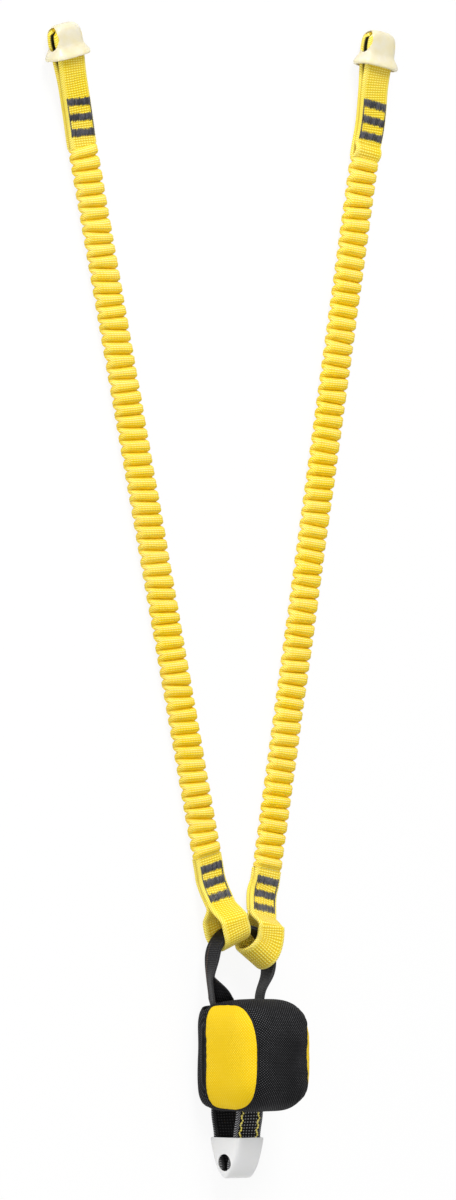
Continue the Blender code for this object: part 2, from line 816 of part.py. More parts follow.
def harness_cap(name, finish, parent):
    """Return the cap on the harness loop: a tapered cup with an eye in each side."""
    rim = HARNESS_REACH - HARNESS_CAP_LENGTH
    wide = 0.5 * HARNESS_WIDTH + GAP + HARNESS_CAP_WALL
    cover = 0.5 * HARNESS_THICKNESS + 2.0 * GAP + HARNESS_CAP_WALL
    bottom = pouch_bottom()
    corner = HARNESS_CAP_CORNER
    outer = []
    inner = []
    steps = 6
    for step in range(steps + 1):
        reach = rim + 0.8 * HARNESS_CAP_LENGTH * step / steps
        deep = harness_half(reach) + cover
        outer.append(cap_ring(POUCH_OFFSET, bottom - reach, HARNESS_LEVEL, wide, deep, corner))
        inner.append(cap_ring(POUCH_OFFSET, bottom - reach, HARNESS_LEVEL, wide - HARNESS_CAP_WALL,
                              deep - HARNESS_CAP_WALL, corner - HARNESS_CAP_WALL))
    deep = HARNESS_END_HALF + cover
    outer.append(cap_ring(POUCH_OFFSET, bottom - HARNESS_REACH + 0.08 * HARNESS_CAP_LENGTH, HARNESS_LEVEL,
                          wide - 0.2 * HARNESS_CAP_TAPER, 0.88 * deep, corner))
    outer.append(cap_ring(POUCH_OFFSET, bottom - HARNESS_REACH, HARNESS_LEVEL, wide - HARNESS_CAP_TAPER,
                          0.6 * deep, corner))
    inner.append(cap_ring(POUCH_OFFSET, bottom - HARNESS_REACH + HARNESS_CAP_WALL, HARNESS_LEVEL,
                          wide - HARNESS_CAP_WALL, 0.55 * deep, corner - HARNESS_CAP_WALL))
    points, faces = closed_shell(outer, inner)
    cap = mesh_object(name, points, faces, finish, parent)
    eye = Vector((POUCH_OFFSET, bottom - HARNESS_REACH + HARNESS_EYE_FROM_END, HARNESS_LEVEL))
    cutter = eye_cutter(name + "_eye_cutter", eye, 0.5 * HARNESS_EYE_LENGTH, 0.5 * HARNESS_EYE_DEPTH,
                        2.0 * wide, parent)
    cut(cap, cutter)
    return cap


def anchor_tacks(name, finish, parent):
    """Return the thread bars under the tear webbing, between the hoop's strands."""
    height = tear_base() - 0.5 * TEAR_THICKNESS - GAP - TACK_THICKNESS

    def face(_):
        return POUCH_OFFSET, height

    first = pouch_centre().y - LOWER_TACK_PITCH
    return bar_tacks(name, LOWER_TACK_WIDTH, first, LOWER_TACK_PITCH, face, 1.0, finish, parent)


def upper_tacks(name, offset, shift, base, finish, parent):
    """Return the bar tacks on the front layer of a connector loop."""
    lift = layer_half() + 0.5 * WEBBING_THICKNESS + 1.5 * GAP

    def face(past):
        along = UPPER_TACK_START + past
        return upper_side(offset, shift, along), upper_level(along) + lift

    first = base + UPPER_TACK_START
    return bar_tacks(name, UPPER_TACK_WIDTH, first, UPPER_TACK_PITCH, face, -1.0, finish, parent)


def lower_tacks(name, offset, start, fold_at, fold_turn, straight, finish, parent):
    """Return the bar tacks on the front layer of a lower loop."""
    middle, half, _, reach = lower_path(offset, start, fold_at, fold_turn, straight)
    first = reach - LOWER_TACK_START - (TACK_BARS - 1) * LOWER_TACK_PITCH
    lift = 0.5 * WEBBING_THICKNESS + 2.5 * GAP

    def face(past):
        centre = middle(first + past)
        return centre.x, centre.z + half(first + past) + lift

    return bar_tacks(name, LOWER_TACK_WIDTH, fold_at.y + first, LOWER_TACK_PITCH, face, 1.0, finish, parent)


def build_arm(side, offset, turn, start, shift, fold, fold_turn, straight, finishes, root):
    """Build one arm on its own empties."""
    pivot = Vector((0.0, 0.0, HOOP_HEIGHT))
    lower = empty(side + "_lower_pivot", pivot, turn, root)
    upper = empty(side + "_upper_slide", (0.0, 0.0, 0.0), 0.0, lower)
    cap = empty(side + "_cap_slide", (0.0, 0.0, 0.0), 0.0, upper)
    fold_at = Matrix.Rotation(-turn, 2) @ fold
    pleated_sleeve(side + "_pleated_sleeve", offset, start, finishes["yellow"], lower)
    elastic_core(side + "_elastic_core", offset, start, finishes["elastic"], lower)
    lower_loop(side + "_lower_loop", offset, start, fold_at, fold_turn, straight, finishes["yellow"], lower)
    lower_tacks(side + "_lower_bar_tacks", offset, start, fold_at, fold_turn, straight,
                finishes["thread"], lower)
    base = start + sleeve_length()
    upper_loop(side + "_upper_loop", offset, shift, base, finishes["yellow"], upper)
    upper_tacks(side + "_upper_bar_tacks", offset, shift, base, finishes["thread"], upper)
    upper_cap(side + "_end_cap", offset + shift, base, finishes["cap"], cap)
    for piece in lower.children_recursive:
        if piece.type == "MESH":
            piece.location = -pivot


def build_harness_end(finishes, root):
    """Build the harness loop on an empty at the pouch's lower mouth."""
    hinge = Vector((POUCH_OFFSET, pouch_bottom(), HARNESS_LEVEL))
    pivot = empty("harness_pivot", hinge, 0.0, root)
    slide = empty("harness_cap_slide", (0.0, 0.0, 0.0), 0.0, pivot)
    harness_loop("harness_loop", finishes["black"], pivot)
    harness_stitching("harness_left_stitching", -1.0, finishes["stitch"], pivot)
    harness_stitching("harness_right_stitching", 1.0, finishes["stitch"], pivot)
    harness_cap("harness_cap", finishes["clear"], slide)
    for piece in pivot.children_recursive:
        if piece.type == "MESH":
            piece.location = -hinge


def centre_on_surface(root):
    """Move the whole object so that its box stands centred on the origin."""
    bpy.context.view_layer.update()
    graph = bpy.context.evaluated_depsgraph_get()
    corners = []
    for piece in bpy.data.objects:
        if piece.type != "MESH" or piece.hide_render:
            continue
        shown = piece.evaluated_get(graph)
        corners += [shown.matrix_world @ vertex.co for vertex in shown.data.vertices]
    low = Vector([min(point[axis] for point in corners) for axis in range(3)])
    high = Vector([max(point[axis] for point in corners) for axis in range(3)])
    middle = (low + high) * 0.5
    root.location = (-middle.x, -middle.y, -low.z)
    bpy.context.view_layer.update()
    print("size", [round(1000.0 * value, 2) for value in high - low])
    print("hoop centre", [round(value, 6) for value in root.matrix_world.translation])


def build():
    """Build the whole lanyard."""
    clear_scene()
    finishes = {
        "yellow": material("yellow_webbing", (0.87, 0.64, 0.01), 0.7),
        "elastic": material("elastic_core", (0.85, 0.83, 0.76), 0.6),
        "thread": material("dark_thread", (0.07, 0.075, 0.09), 0.8),
        "cap": material("milky_cap", (0.88, 0.84, 0.68), 0.35, 0.8),
        "clear": material("clear_cap", (0.78, 0.78, 0.78), 0.35, 0.7),
        "black": material("black_webbing", (0.014, 0.014, 0.015), 0.75),
        "fabric": material("black_fabric", (0.023, 0.023, 0.025), 0.85),
        "panel": material("yellow_fabric", (0.88, 0.65, 0.015), 0.8),
        "stitch": material("yellow_thread", (0.85, 0.67, 0.08), 0.6),
        "tear": material("tear_webbing", (0.6, 0.6, 0.58), 0.7),
    }
    root = empty("lanyard", (0.0, 0.0, 0.0), 0.0, None)
    build_arm("left", LEFT_ARM_OFFSET, LEFT_ARM_TURN, LEFT_SLEEVE_START, LEFT_CAP_SHIFT, LEFT_FOLD,
              LEFT_FOLD_TURN, LEFT_FOLD_STRAIGHT, finishes, root)
    build_arm("right", RIGHT_ARM_OFFSET, RIGHT_ARM_TURN, RIGHT_SLEEVE_START, RIGHT_CAP_SHIFT, RIGHT_FOLD,
              RIGHT_FOLD_TURN, RIGHT_FOLD_STRAIGHT, finishes, root)
    anchor_hoop("anchor_hoop", finishes["black"], root)
    wrap_panel("pouch_front_panel", True, finishes["fabric"], root)
    wrap_panel("pouch_back_panel", False, finishes["fabric"], root)
    side_panel("pouch_left_panel", -1.0, finishes["panel"], root)
    side_panel("pouch_right_panel", 1.0, finishes["panel"], root)
    piping("pouch_left_piping", -1.0, finishes["black"], root)
    piping("pouch_right_piping", 1.0, finishes["black"], root)
    tear_pack("tear_webbing_pack", finishes["tear"], root)
    anchor_tacks("anchor_bar_tacks", finishes["stitch"], root)
    build_harness_end(finishes, root)
    centre_on_surface(root)


build()
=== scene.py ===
"""Twin shock-absorbing lanyard: the dressed pieces, the studio and the camera.

Metres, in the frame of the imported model: +Y runs from the pouch to the arm tips, +Z up
from the surface that the lanyard lies on.
"""

import logging
import math
import random
from dataclasses import dataclass, field
from enum import Enum
from typing import Callable, Optional

import bmesh
import bpy
from mathutils import Matrix, Vector, noise

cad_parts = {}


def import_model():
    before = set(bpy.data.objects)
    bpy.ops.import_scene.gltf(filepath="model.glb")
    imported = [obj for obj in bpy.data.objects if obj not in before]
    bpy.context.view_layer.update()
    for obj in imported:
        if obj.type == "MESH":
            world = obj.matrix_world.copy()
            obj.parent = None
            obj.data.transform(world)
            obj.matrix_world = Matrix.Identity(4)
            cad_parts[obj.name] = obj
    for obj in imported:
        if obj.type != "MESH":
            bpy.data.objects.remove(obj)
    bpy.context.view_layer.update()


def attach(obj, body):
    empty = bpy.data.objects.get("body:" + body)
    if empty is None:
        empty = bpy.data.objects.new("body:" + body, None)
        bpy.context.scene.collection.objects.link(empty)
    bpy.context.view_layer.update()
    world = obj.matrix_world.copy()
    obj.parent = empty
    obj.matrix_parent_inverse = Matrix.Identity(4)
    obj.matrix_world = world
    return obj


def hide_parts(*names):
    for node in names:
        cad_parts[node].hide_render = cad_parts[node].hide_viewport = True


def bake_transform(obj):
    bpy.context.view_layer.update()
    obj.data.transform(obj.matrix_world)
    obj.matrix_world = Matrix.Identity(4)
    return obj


LOG = logging.getLogger("lanyard")

HOOP_CENTRE = Vector((0.011978, -0.250701, 0.0))
GAP = 0.0003
LAYER_GAP = 0.0004
WEBBING_THICKNESS = 0.0028
ACROSS = Vector((1.0, 0.0, 0.0))
UP = Vector((0.0, 0.0, 1.0))

Ring = list[Vector]
Tree = bpy.types.NodeTree
Source = bpy.types.Node | bpy.types.NodeSocket


class Side(Enum):
    """The two arms, and the two sides of the pouch, seen from its front."""

    LEFT = "left"
    RIGHT = "right"

    @property
    def sign(self) -> float:
        """Return -1 on the left and 1 on the right."""
        return -1.0 if self is Side.LEFT else 1.0


class Body(Enum):
    """The rigid bodies that pieces ride on."""

    ABSORBER = "absorber"
    HARNESS_END = "harness_end"
    HARNESS_COVER = "harness_cover"


def to_linear(code: str, alpha: float = 1.0) -> tuple[float, float, float, float]:
    """Turn an sRGB hex colour into linear values.

    Args:
        code: Six hex digits, with or without a leading hash.
        alpha: Opacity from 0 to 1.

    Returns:
        Linear red, green, blue and the opacity.
    """
    code = code.lstrip("#")
    channels = []
    for start in (0, 2, 4):
        value = int(code[start:start + 2], 16) / 255.0
        channels.append(value / 12.92 if value <= 0.04045 else ((value + 0.055) / 1.055) ** 2.4)
    return (channels[0], channels[1], channels[2], alpha)


def smooth(value: float) -> float:
    """Return an ease from 0 to 1 over that range of value."""
    held = min(1.0, max(0.0, value))
    return held * held * (3.0 - 2.0 * held)


def mix(start: float, end: float, share: float) -> float:
    """Return the value at a share of the way."""
    return start + (end - start) * share


def signed_power(value: float, power: float) -> float:
    """Return the value's size to a power, with the value's sign."""
    return math.copysign(abs(value) ** power, value)


def add_node(tree: Tree, kind: str, settings: Optional[dict] = None, links: Optional[dict] = None) -> bpy.types.Node:
    """Add a shader node with its settings and its incoming links.

    Args:
        tree: Node tree of the material or world.
        kind: Blender's type name of the node, without ShaderNode before it.
        settings: Values by input name or number, or by attribute name.
        links: Output sockets by the input name or number that they feed. A node stands for its first one.

    Returns:
        The new node.
    """
    node = tree.nodes.new(f"ShaderNode{kind}")
    for key, value in (settings or {}).items():
        if isinstance(key, int) or key in node.inputs:
            node.inputs[key].default_value = value
        else:
            setattr(node, key, value)
    for key, source in (links or {}).items():
        tree.links.new(source.outputs[0] if isinstance(source, bpy.types.Node) else source, node.inputs[key])
    return node


# ---------------------------------------------------------------------------
# Finishes
# ---------------------------------------------------------------------------


def new_surface(name: str, settings: dict) -> tuple[bpy.types.Material, Tree, bpy.types.Node]:
    """Start a material from a Principled shader.

    Args:
        name: Name of the real material and its process.
        settings: Uniform values by the shader's socket names.

    Returns:
        The material, its node tree and the shader node.
    """
    made = bpy.data.materials.new(name)
    made.use_nodes = True
    tree = made.node_tree
    shader = tree.nodes["Principled BSDF"]
    for key, value in settings.items():
        shader.inputs[key].default_value = value
    return made, tree, shader


def add_wave(tree: Tree, source: Source, pitch_mm: float, shift: Optional[Source] = None) -> bpy.types.Node:
    """Add a wave from 0 to 1 along a length in metres.

    Args:
        tree: Node tree to add to.
        source: The length.
        pitch_mm: Real spacing of the wave in millimetres.
        shift: Phase to add, in radians.

    Returns:
        The wave's last node.
    """
    phase = add_node(tree, "Math", {"operation": "MULTIPLY", 1: math.tau / (0.001 * pitch_mm)}, {0: source})
    if shift is not None:
        phase = add_node(tree, "Math", {"operation": "ADD"}, {0: phase, 1: shift})
    sine = add_node(tree, "Math", {"operation": "SINE"}, {0: phase})
    return add_node(tree, "Math", {"operation": "MULTIPLY_ADD", 1: 0.5, 2: 0.5}, {0: sine})


@dataclass(frozen=True)
class WebbingFinish:
    """Woven webbing: dyed yarn, woven with thick weft ribs across the strap.

    It is matt, with a painted pale highlight on the rib crests and on lit ridges, random pale wear, painted shade in
    the weave's hollows and deep in folds, painted shade on the inner faces of its eyes, and a smooth selvedge on its
    edges.
    """

    name: str
    colour: str
    # Colour painted as shade deep in the folds of a pleated sleeve.
    shade: str
    # Colour painted as shade in the hollows of the weave.
    gap: str
    # Pale colour painted as highlight on the rib crests and lit ridges, and mixed in as random wear; it also tints
    # the sheen.
    pale_highlight_and_wear: str
    rib_mm: float = 1.75
    yarn_mm: float = 2.35
    relief_mm: float = 0.30
    grid: float = 0.6
    half_width_mm: float = 12.0
    selvedge_mm: float = 3.0
    roughness: float = 0.5
    sheen: float = 0.25
    shine: float = 0.15
    # How strongly the rib crests get the painted highlight.
    crest_highlight_share: float = 0.35
    wear: float = 0.22
    glow: float = 0.10
    # Colour painted as shade on the inner faces of eyes and loops.
    painted_inner_shade: str = "#1D170A"

    def make(self) -> bpy.types.Material:
        """Make the material, with ribs and yarn from the strap's own lengths."""
        made, tree, shader = new_surface(self.name, {
            "Roughness": self.roughness, "IOR": 1.5, "Sheen Roughness": 0.4,
            "Sheen Tint": to_linear(self.pale_highlight_and_wear), "Specular IOR Level": self.shine, "Subsurface Weight": self.glow,
            "Subsurface Radius": (0.0016, 0.0011, 0.0003), "Subsurface Scale": 1.0})
        lengths = add_node(tree, "UVMap", {"uv_map": "cloth"})
        split = add_node(tree, "SeparateXYZ", links={0: lengths})
        across, along = split.outputs[0], split.outputs[1]
        place = add_node(tree, "TexCoord")
        wander = add_node(tree, "TexNoise", {"Scale": 90.0, "Detail": 2.0}, {"Vector": place.outputs["Object"]})
        drift = add_node(tree, "Math", {"operation": "MULTIPLY", 1: 2.6}, {0: wander})
        rib = add_wave(tree, along, self.rib_mm, drift)
        yarn = add_wave(tree, across, self.yarn_mm)
        # The selvedge is woven tighter: the ribs fade in its last millimetres.
        edge = add_node(tree, "Math", {"operation": "ABSOLUTE"}, {0: across})
        inner = 0.001 * (self.half_width_mm - self.selvedge_mm)
        body = add_node(tree, "MapRange", {"interpolation_type": "SMOOTHSTEP", "From Min": inner + 0.0012,
                                           "From Max": inner - 0.0004, "To Min": 0.0, "To Max": 1.0},
                        {"Value": edge})
        slant = add_node(tree, "Math", {"operation": "ADD"}, {0: across, 1: along})
        twill = add_wave(tree, slant, 0.65 * self.yarn_mm)
        weave = add_node(tree, "Math", {"operation": "MULTIPLY_ADD", 1: 0.3}, {0: yarn, 2: rib})
        height = add_node(tree, "Mix", {"data_type": "FLOAT"}, {0: body, 2: twill, 3: weave})
        fine = add_node(tree, "TexNoise", {"Scale": 1900.0, "Detail": 1.0}, {"Vector": place.outputs["Object"]})
        height = add_node(tree, "Math", {"operation": "MULTIPLY_ADD", 1: 0.22}, {0: fine, 2: height})
        bump = add_node(tree, "Bump", {"Strength": 0.75, "Distance": 0.001 * self.relief_mm}, {"Height": height})
        tree.links.new(bump.outputs[0], shader.inputs["Normal"])
        # The ribs' crests get a painted pale highlight. Between them, in the weave's hollows, and deep in the folds,
        # darker colour is painted as shade.
        # Painted shade in the hollows between the ribs and between the yarns.
        hollow = add_node(tree, "MapRange", {"From Min": 0.0, "From Max": 0.6, "To Min": self.grid, "To Max": 0.0},
                          {"Value": rib})
        between = add_node(tree, "MapRange",
                           {"From Min": 0.0, "From Max": 0.5, "To Min": 0.7 * self.grid, "To Max": 0.0},
                           {"Value": yarn})
        hollow = add_node(tree, "Math", {"operation": "MAXIMUM"}, {0: hollow, 1: between})
        # At the selvedge the painted shade lies in the twill's hollows instead.
        seam = add_node(tree, "MapRange",
                        {"From Min": 0.0, "From Max": 0.55, "To Min": 0.8 * self.grid, "To Max": 0.0},
                        {"Value": twill})
        hollow = add_node(tree, "Mix", {"data_type": "FLOAT"}, {0: body, 2: seam, 3: hollow})
        beads = add_node(tree, "Math", {"operation": "MULTIPLY_ADD", 1: self.grid, 2: 1.0 - self.grid}, {0: yarn})
        beads = add_node(tree, "Math", {"operation": "MULTIPLY"}, {0: beads, 1: rib})
        raised = add_node(tree, "Mix", {"data_type": "FLOAT"}, {0: body, 2: twill, 3: beads})
        # The fold depth attribute: above 0 it paints shade deep in a fold, below 0 a highlight on a ridge's upper
        # slope.
        depth = add_node(tree, "Attribute", {"attribute_name": "fold_depth"})
        sunk = add_node(tree, "Math", {"operation": "MAXIMUM", 1: 0.0}, {0: depth.outputs["Fac"]})
        proud = add_node(tree, "Math", {"operation": "MULTIPLY", 1: -1.0, "use_clamp": True},
                         {0: depth.outputs["Fac"]})
        uneven = add_node(tree, "TexNoise", {"Scale": 26.0, "Detail": 3.0}, {"Vector": place.outputs["Object"]})
        uneven = add_node(tree, "MapRange", {"From Min": 0.35, "From Max": 0.7, "To Min": 0.0, "To Max": self.wear},
                          {"Value": uneven})
        # Painted highlight on lit ridges, strongest on the ribs, added to the random wear tone.
        lit = add_node(tree, "Math", {"operation": "MULTIPLY_ADD", 1: 0.75, 2: 0.25}, {0: rib})
        lit = add_node(tree, "Math", {"operation": "MULTIPLY"}, {0: lit, 1: proud})
        uneven = add_node(tree, "Math", {"operation": "ADD"}, {0: uneven, 1: lit})
        # Painted highlight on the rib crests, where the weave stands highest.
        painted_crest_highlight = add_node(tree, "MapRange", {"From Min": 0.5, "From Max": 1.0, "To Min": 0.0, "To Max": self.crest_highlight_share},
                         {"Value": raised})
        # The random wear tone and the painted ridge highlight are added to it.
        painted_crest_highlight = add_node(tree, "Math", {"operation": "ADD", "use_clamp": True}, {0: painted_crest_highlight, 1: uneven})
        tint = add_node(tree, "Mix", {"data_type": "RGBA", 6: to_linear(self.colour), 7: to_linear(self.pale_highlight_and_wear)},
                        {0: painted_crest_highlight})
        # Painted shade in the weave's hollows.
        tint = add_node(tree, "Mix", {"data_type": "RGBA", 7: to_linear(self.gap)}, {0: hollow, 6: tint.outputs[2]})
        # Painted shade deep in the folds.
        sunk_share = add_node(tree, "Math", {"operation": "MINIMUM", 1: 1.0}, {0: sunk})
        tint = add_node(tree, "Mix", {"data_type": "RGBA", 7: to_linear(self.shade)},
                        {0: sunk_share, 6: tint.outputs[2]})
        fuzz = add_node(tree, "MapRange", {"From Min": 0.0, "From Max": 0.6, "To Min": self.sheen, "To Max": 0.0},
                        {"Value": sunk})
        tree.links.new(fuzz.outputs[0], shader.inputs["Sheen Weight"])
        # Painted shade: the inner faces of an eye, and between a loop's strands, are darkened where shade falls in
        # them.
        inside = add_node(tree, "Attribute", {"attribute_name": "painted_inner_shade_mask"})
        tint = add_node(tree, "Mix", {"data_type": "RGBA", 7: to_linear(self.painted_inner_shade)},
                        {0: inside.outputs["Fac"], 6: tint.outputs[2]})
        tree.links.new(tint.outputs[2], shader.inputs["Base Color"])
        return made


@dataclass(frozen=True)
class ThreadFinish:
    """Twisted polyester sewing thread: small glints across the twist, on a dark dyed body."""

    name: str
    colour: str
    light: str
    deep: str
    twist_mm: float = 0.5
    roughness: float = 0.5

    def make(self) -> bpy.types.Material:
        """Make the material, with the twist drawn as fine slanting ridges."""
        made, tree, shader = new_surface(self.name, {
            "Roughness": self.roughness, "IOR": 1.53, "Sheen Weight": 0.3, "Sheen Tint": to_linear(self.light)})
        place = add_node(tree, "TexCoord")
        # The twist is 0.2 mm on the real thread, and is drawn at 0.5 mm so that it shows.
        twist = add_node(tree, "TexWave", {"wave_type": "BANDS", "bands_direction": "DIAGONAL",
                                           "Scale": 1000.0 / (20.0 * self.twist_mm) * 3.1, "Distortion": 1.5,
                                           "Detail": 1.0}, {"Vector": place.outputs["Object"]})
        bump = add_node(tree, "Bump", {"Strength": 0.5, "Distance": 0.0001}, {"Height": twist.outputs[1]})
        tree.links.new(bump.outputs[0], shader.inputs["Normal"])
        speck = add_node(tree, "TexNoise", {"Scale": 700.0, "Detail": 2.0}, {"Vector": place.outputs["Object"]})
        speck = add_node(tree, "MapRange", {"From Min": 0.42, "From Max": 0.68, "To Max": 0.6}, {"Value": speck})
        tint = add_node(tree, "Mix", {"data_type": "RGBA", 6: to_linear(self.colour), 7: to_linear(self.light)},
                        {0: speck})
        # Each stitch takes the light a little differently, as its thread lies.
        depth = add_node(tree, "Attribute", {"attribute_name": "fold_depth"})
        tint = add_node(tree, "Mix", {"data_type": "RGBA", 7: to_linear(self.deep)},
                        {0: depth.outputs["Fac"], 6: tint.outputs[2]})
        tree.links.new(tint.outputs[2], shader.inputs["Base Color"])
        return made


@dataclass(frozen=True)
class SoftPlasticFinish:
    """Dipped soft vinyl: milky, a little clear where it is thin, with a soft gloss and a fine haze."""

    name: str
    colour: str
    haze: str
    opacity: float
    glow: float
    roughness: float = 0.34

    def make(self) -> bpy.types.Material:
        """Make the material."""
        made, tree, shader = new_surface(self.name, {
            "Roughness": self.roughness, "IOR": 1.52, "Alpha": self.opacity, "Subsurface Weight": self.glow,
            "Subsurface Radius": (0.004, 0.0035, 0.0022), "Subsurface Scale": 1.0, "Coat Weight": 0.15,
            "Coat Roughness": 0.2})
        place = add_node(tree, "TexCoord")
        cloud = add_node(tree, "TexNoise", {"Scale": 120.0, "Detail": 3.0}, {"Vector": place.outputs["Object"]})
        grade = add_node(tree, "MapRange", {"From Min": 0.35, "From Max": 0.68}, {"Value": cloud})
        tint = add_node(tree, "Mix", {"data_type": "RGBA", 6: to_linear(self.colour), 7: to_linear(self.haze)},
                        {0: grade})
        tree.links.new(tint.outputs[2], shader.inputs["Base Color"])
        wave = add_node(tree, "TexNoise", {"Scale": 260.0, "Detail": 1.0}, {"Vector": place.outputs["Object"]})
        bump = add_node(tree, "Bump", {"Strength": 0.25, "Distance": 0.0004}, {"Height": wave})
        tree.links.new(bump.outputs[0], shader.inputs["Normal"])
        return made


@dataclass(frozen=True)
class StretchFabricFinish:
    """Woven stretch fabric: a fine slanting weave with pale specks, matt, a little dusty on the folds."""

    name: str
    colour: str
    speck: str
    weave_mm: float = 2.0
    speckle: float = 0.8
    roughness: float = 0.8

    def make(self) -> bpy.types.Material:
        """Make the material. The real weave is 0.5 mm, drawn four times coarser so that it shows."""
        made, tree, shader = new_surface(self.name, {
            "Roughness": self.roughness, "IOR": 1.5, "Sheen Weight": 0.15, "Sheen Roughness": 0.5,
            "Sheen Tint": to_linear(self.speck), "Specular IOR Level": 0.1})
        lengths = add_node(tree, "UVMap", {"uv_map": "cloth"})
        split = add_node(tree, "SeparateXYZ", links={0: lengths})
        up = add_node(tree, "Math", {"operation": "ADD"}, {0: split, 1: split.outputs[1]})
        down = add_node(tree, "Math", {"operation": "SUBTRACT"}, {0: split, 1: split.outputs[1]})
        rise = add_wave(tree, up, self.weave_mm)
        fall = add_wave(tree, down, self.weave_mm)
        weave = add_node(tree, "Math", {"operation": "MULTIPLY"}, {0: rise, 1: fall})
        place = add_node(tree, "TexCoord")
        grain = add_node(tree, "TexNoise", {"Scale": 1500.0, "Detail": 2.0}, {"Vector": place.outputs["Object"]})
        height = add_node(tree, "Math", {"operation": "MULTIPLY_ADD", 1: 0.5}, {0: grain, 2: weave})
        bump = add_node(tree, "Bump", {"Strength": 0.6, "Distance": 0.0002}, {"Height": height})
        tree.links.new(bump.outputs[0], shader.inputs["Normal"])
        wear = add_node(tree, "TexNoise", {"Scale": 45.0, "Detail": 3.0}, {"Vector": place.outputs["Object"]})
        dust = add_node(tree, "MapRange", {"From Min": 0.3, "From Max": 0.75, "To Min": 0.35, "To Max": 1.0},
                        {"Value": wear})
        dots = add_node(tree, "MapRange", {"From Min": 0.45, "From Max": 0.95, "To Max": self.speckle},
                        {"Value": weave})
        dots = add_node(tree, "Math", {"operation": "MULTIPLY"}, {0: dots, 1: dust})
        tint = add_node(tree, "Mix", {"data_type": "RGBA", 6: to_linear(self.colour), 7: to_linear(self.speck)},
                        {0: dots})
        tree.links.new(tint.outputs[2], shader.inputs["Base Color"])
        return made


@dataclass(frozen=True)
class StudioFinish:
    """Matt painted board for the floor: near white to the camera, with the object's shadow kept."""

    name: str = "matt_painted_board"
    colour: str = "#F4F4F4"
    lift: float = 0.90

    def make(self) -> bpy.types.Material:
        """Make the material: to the camera and to reflections, part of it is plain white light."""
        made = bpy.data.materials.new(self.name)
        made.use_nodes = True
        tree = made.node_tree
        tree.nodes.clear()
        rays = add_node(tree, "LightPath")
        seen = add_node(tree, "Math", {"operation": "MAXIMUM"},
                        {0: rays.outputs["Is Camera Ray"], 1: rays.outputs["Is Glossy Ray"]})
        seen = add_node(tree, "Math", {"operation": "MAXIMUM"}, {0: seen, 1: rays.outputs["Is Transmission Ray"]})
        share = add_node(tree, "Math", {"operation": "MULTIPLY", 1: self.lift}, {0: seen})
        board = add_node(tree, "BsdfDiffuse", {"Color": to_linear(self.colour)})
        light = add_node(tree, "Emission", {"Color": (1.0, 1.0, 1.0, 1.0), "Strength": 1.0})
        both = add_node(tree, "MixShader", links={0: share, 1: board, 2: light})
        add_node(tree, "OutputMaterial", links={0: both})
        return made


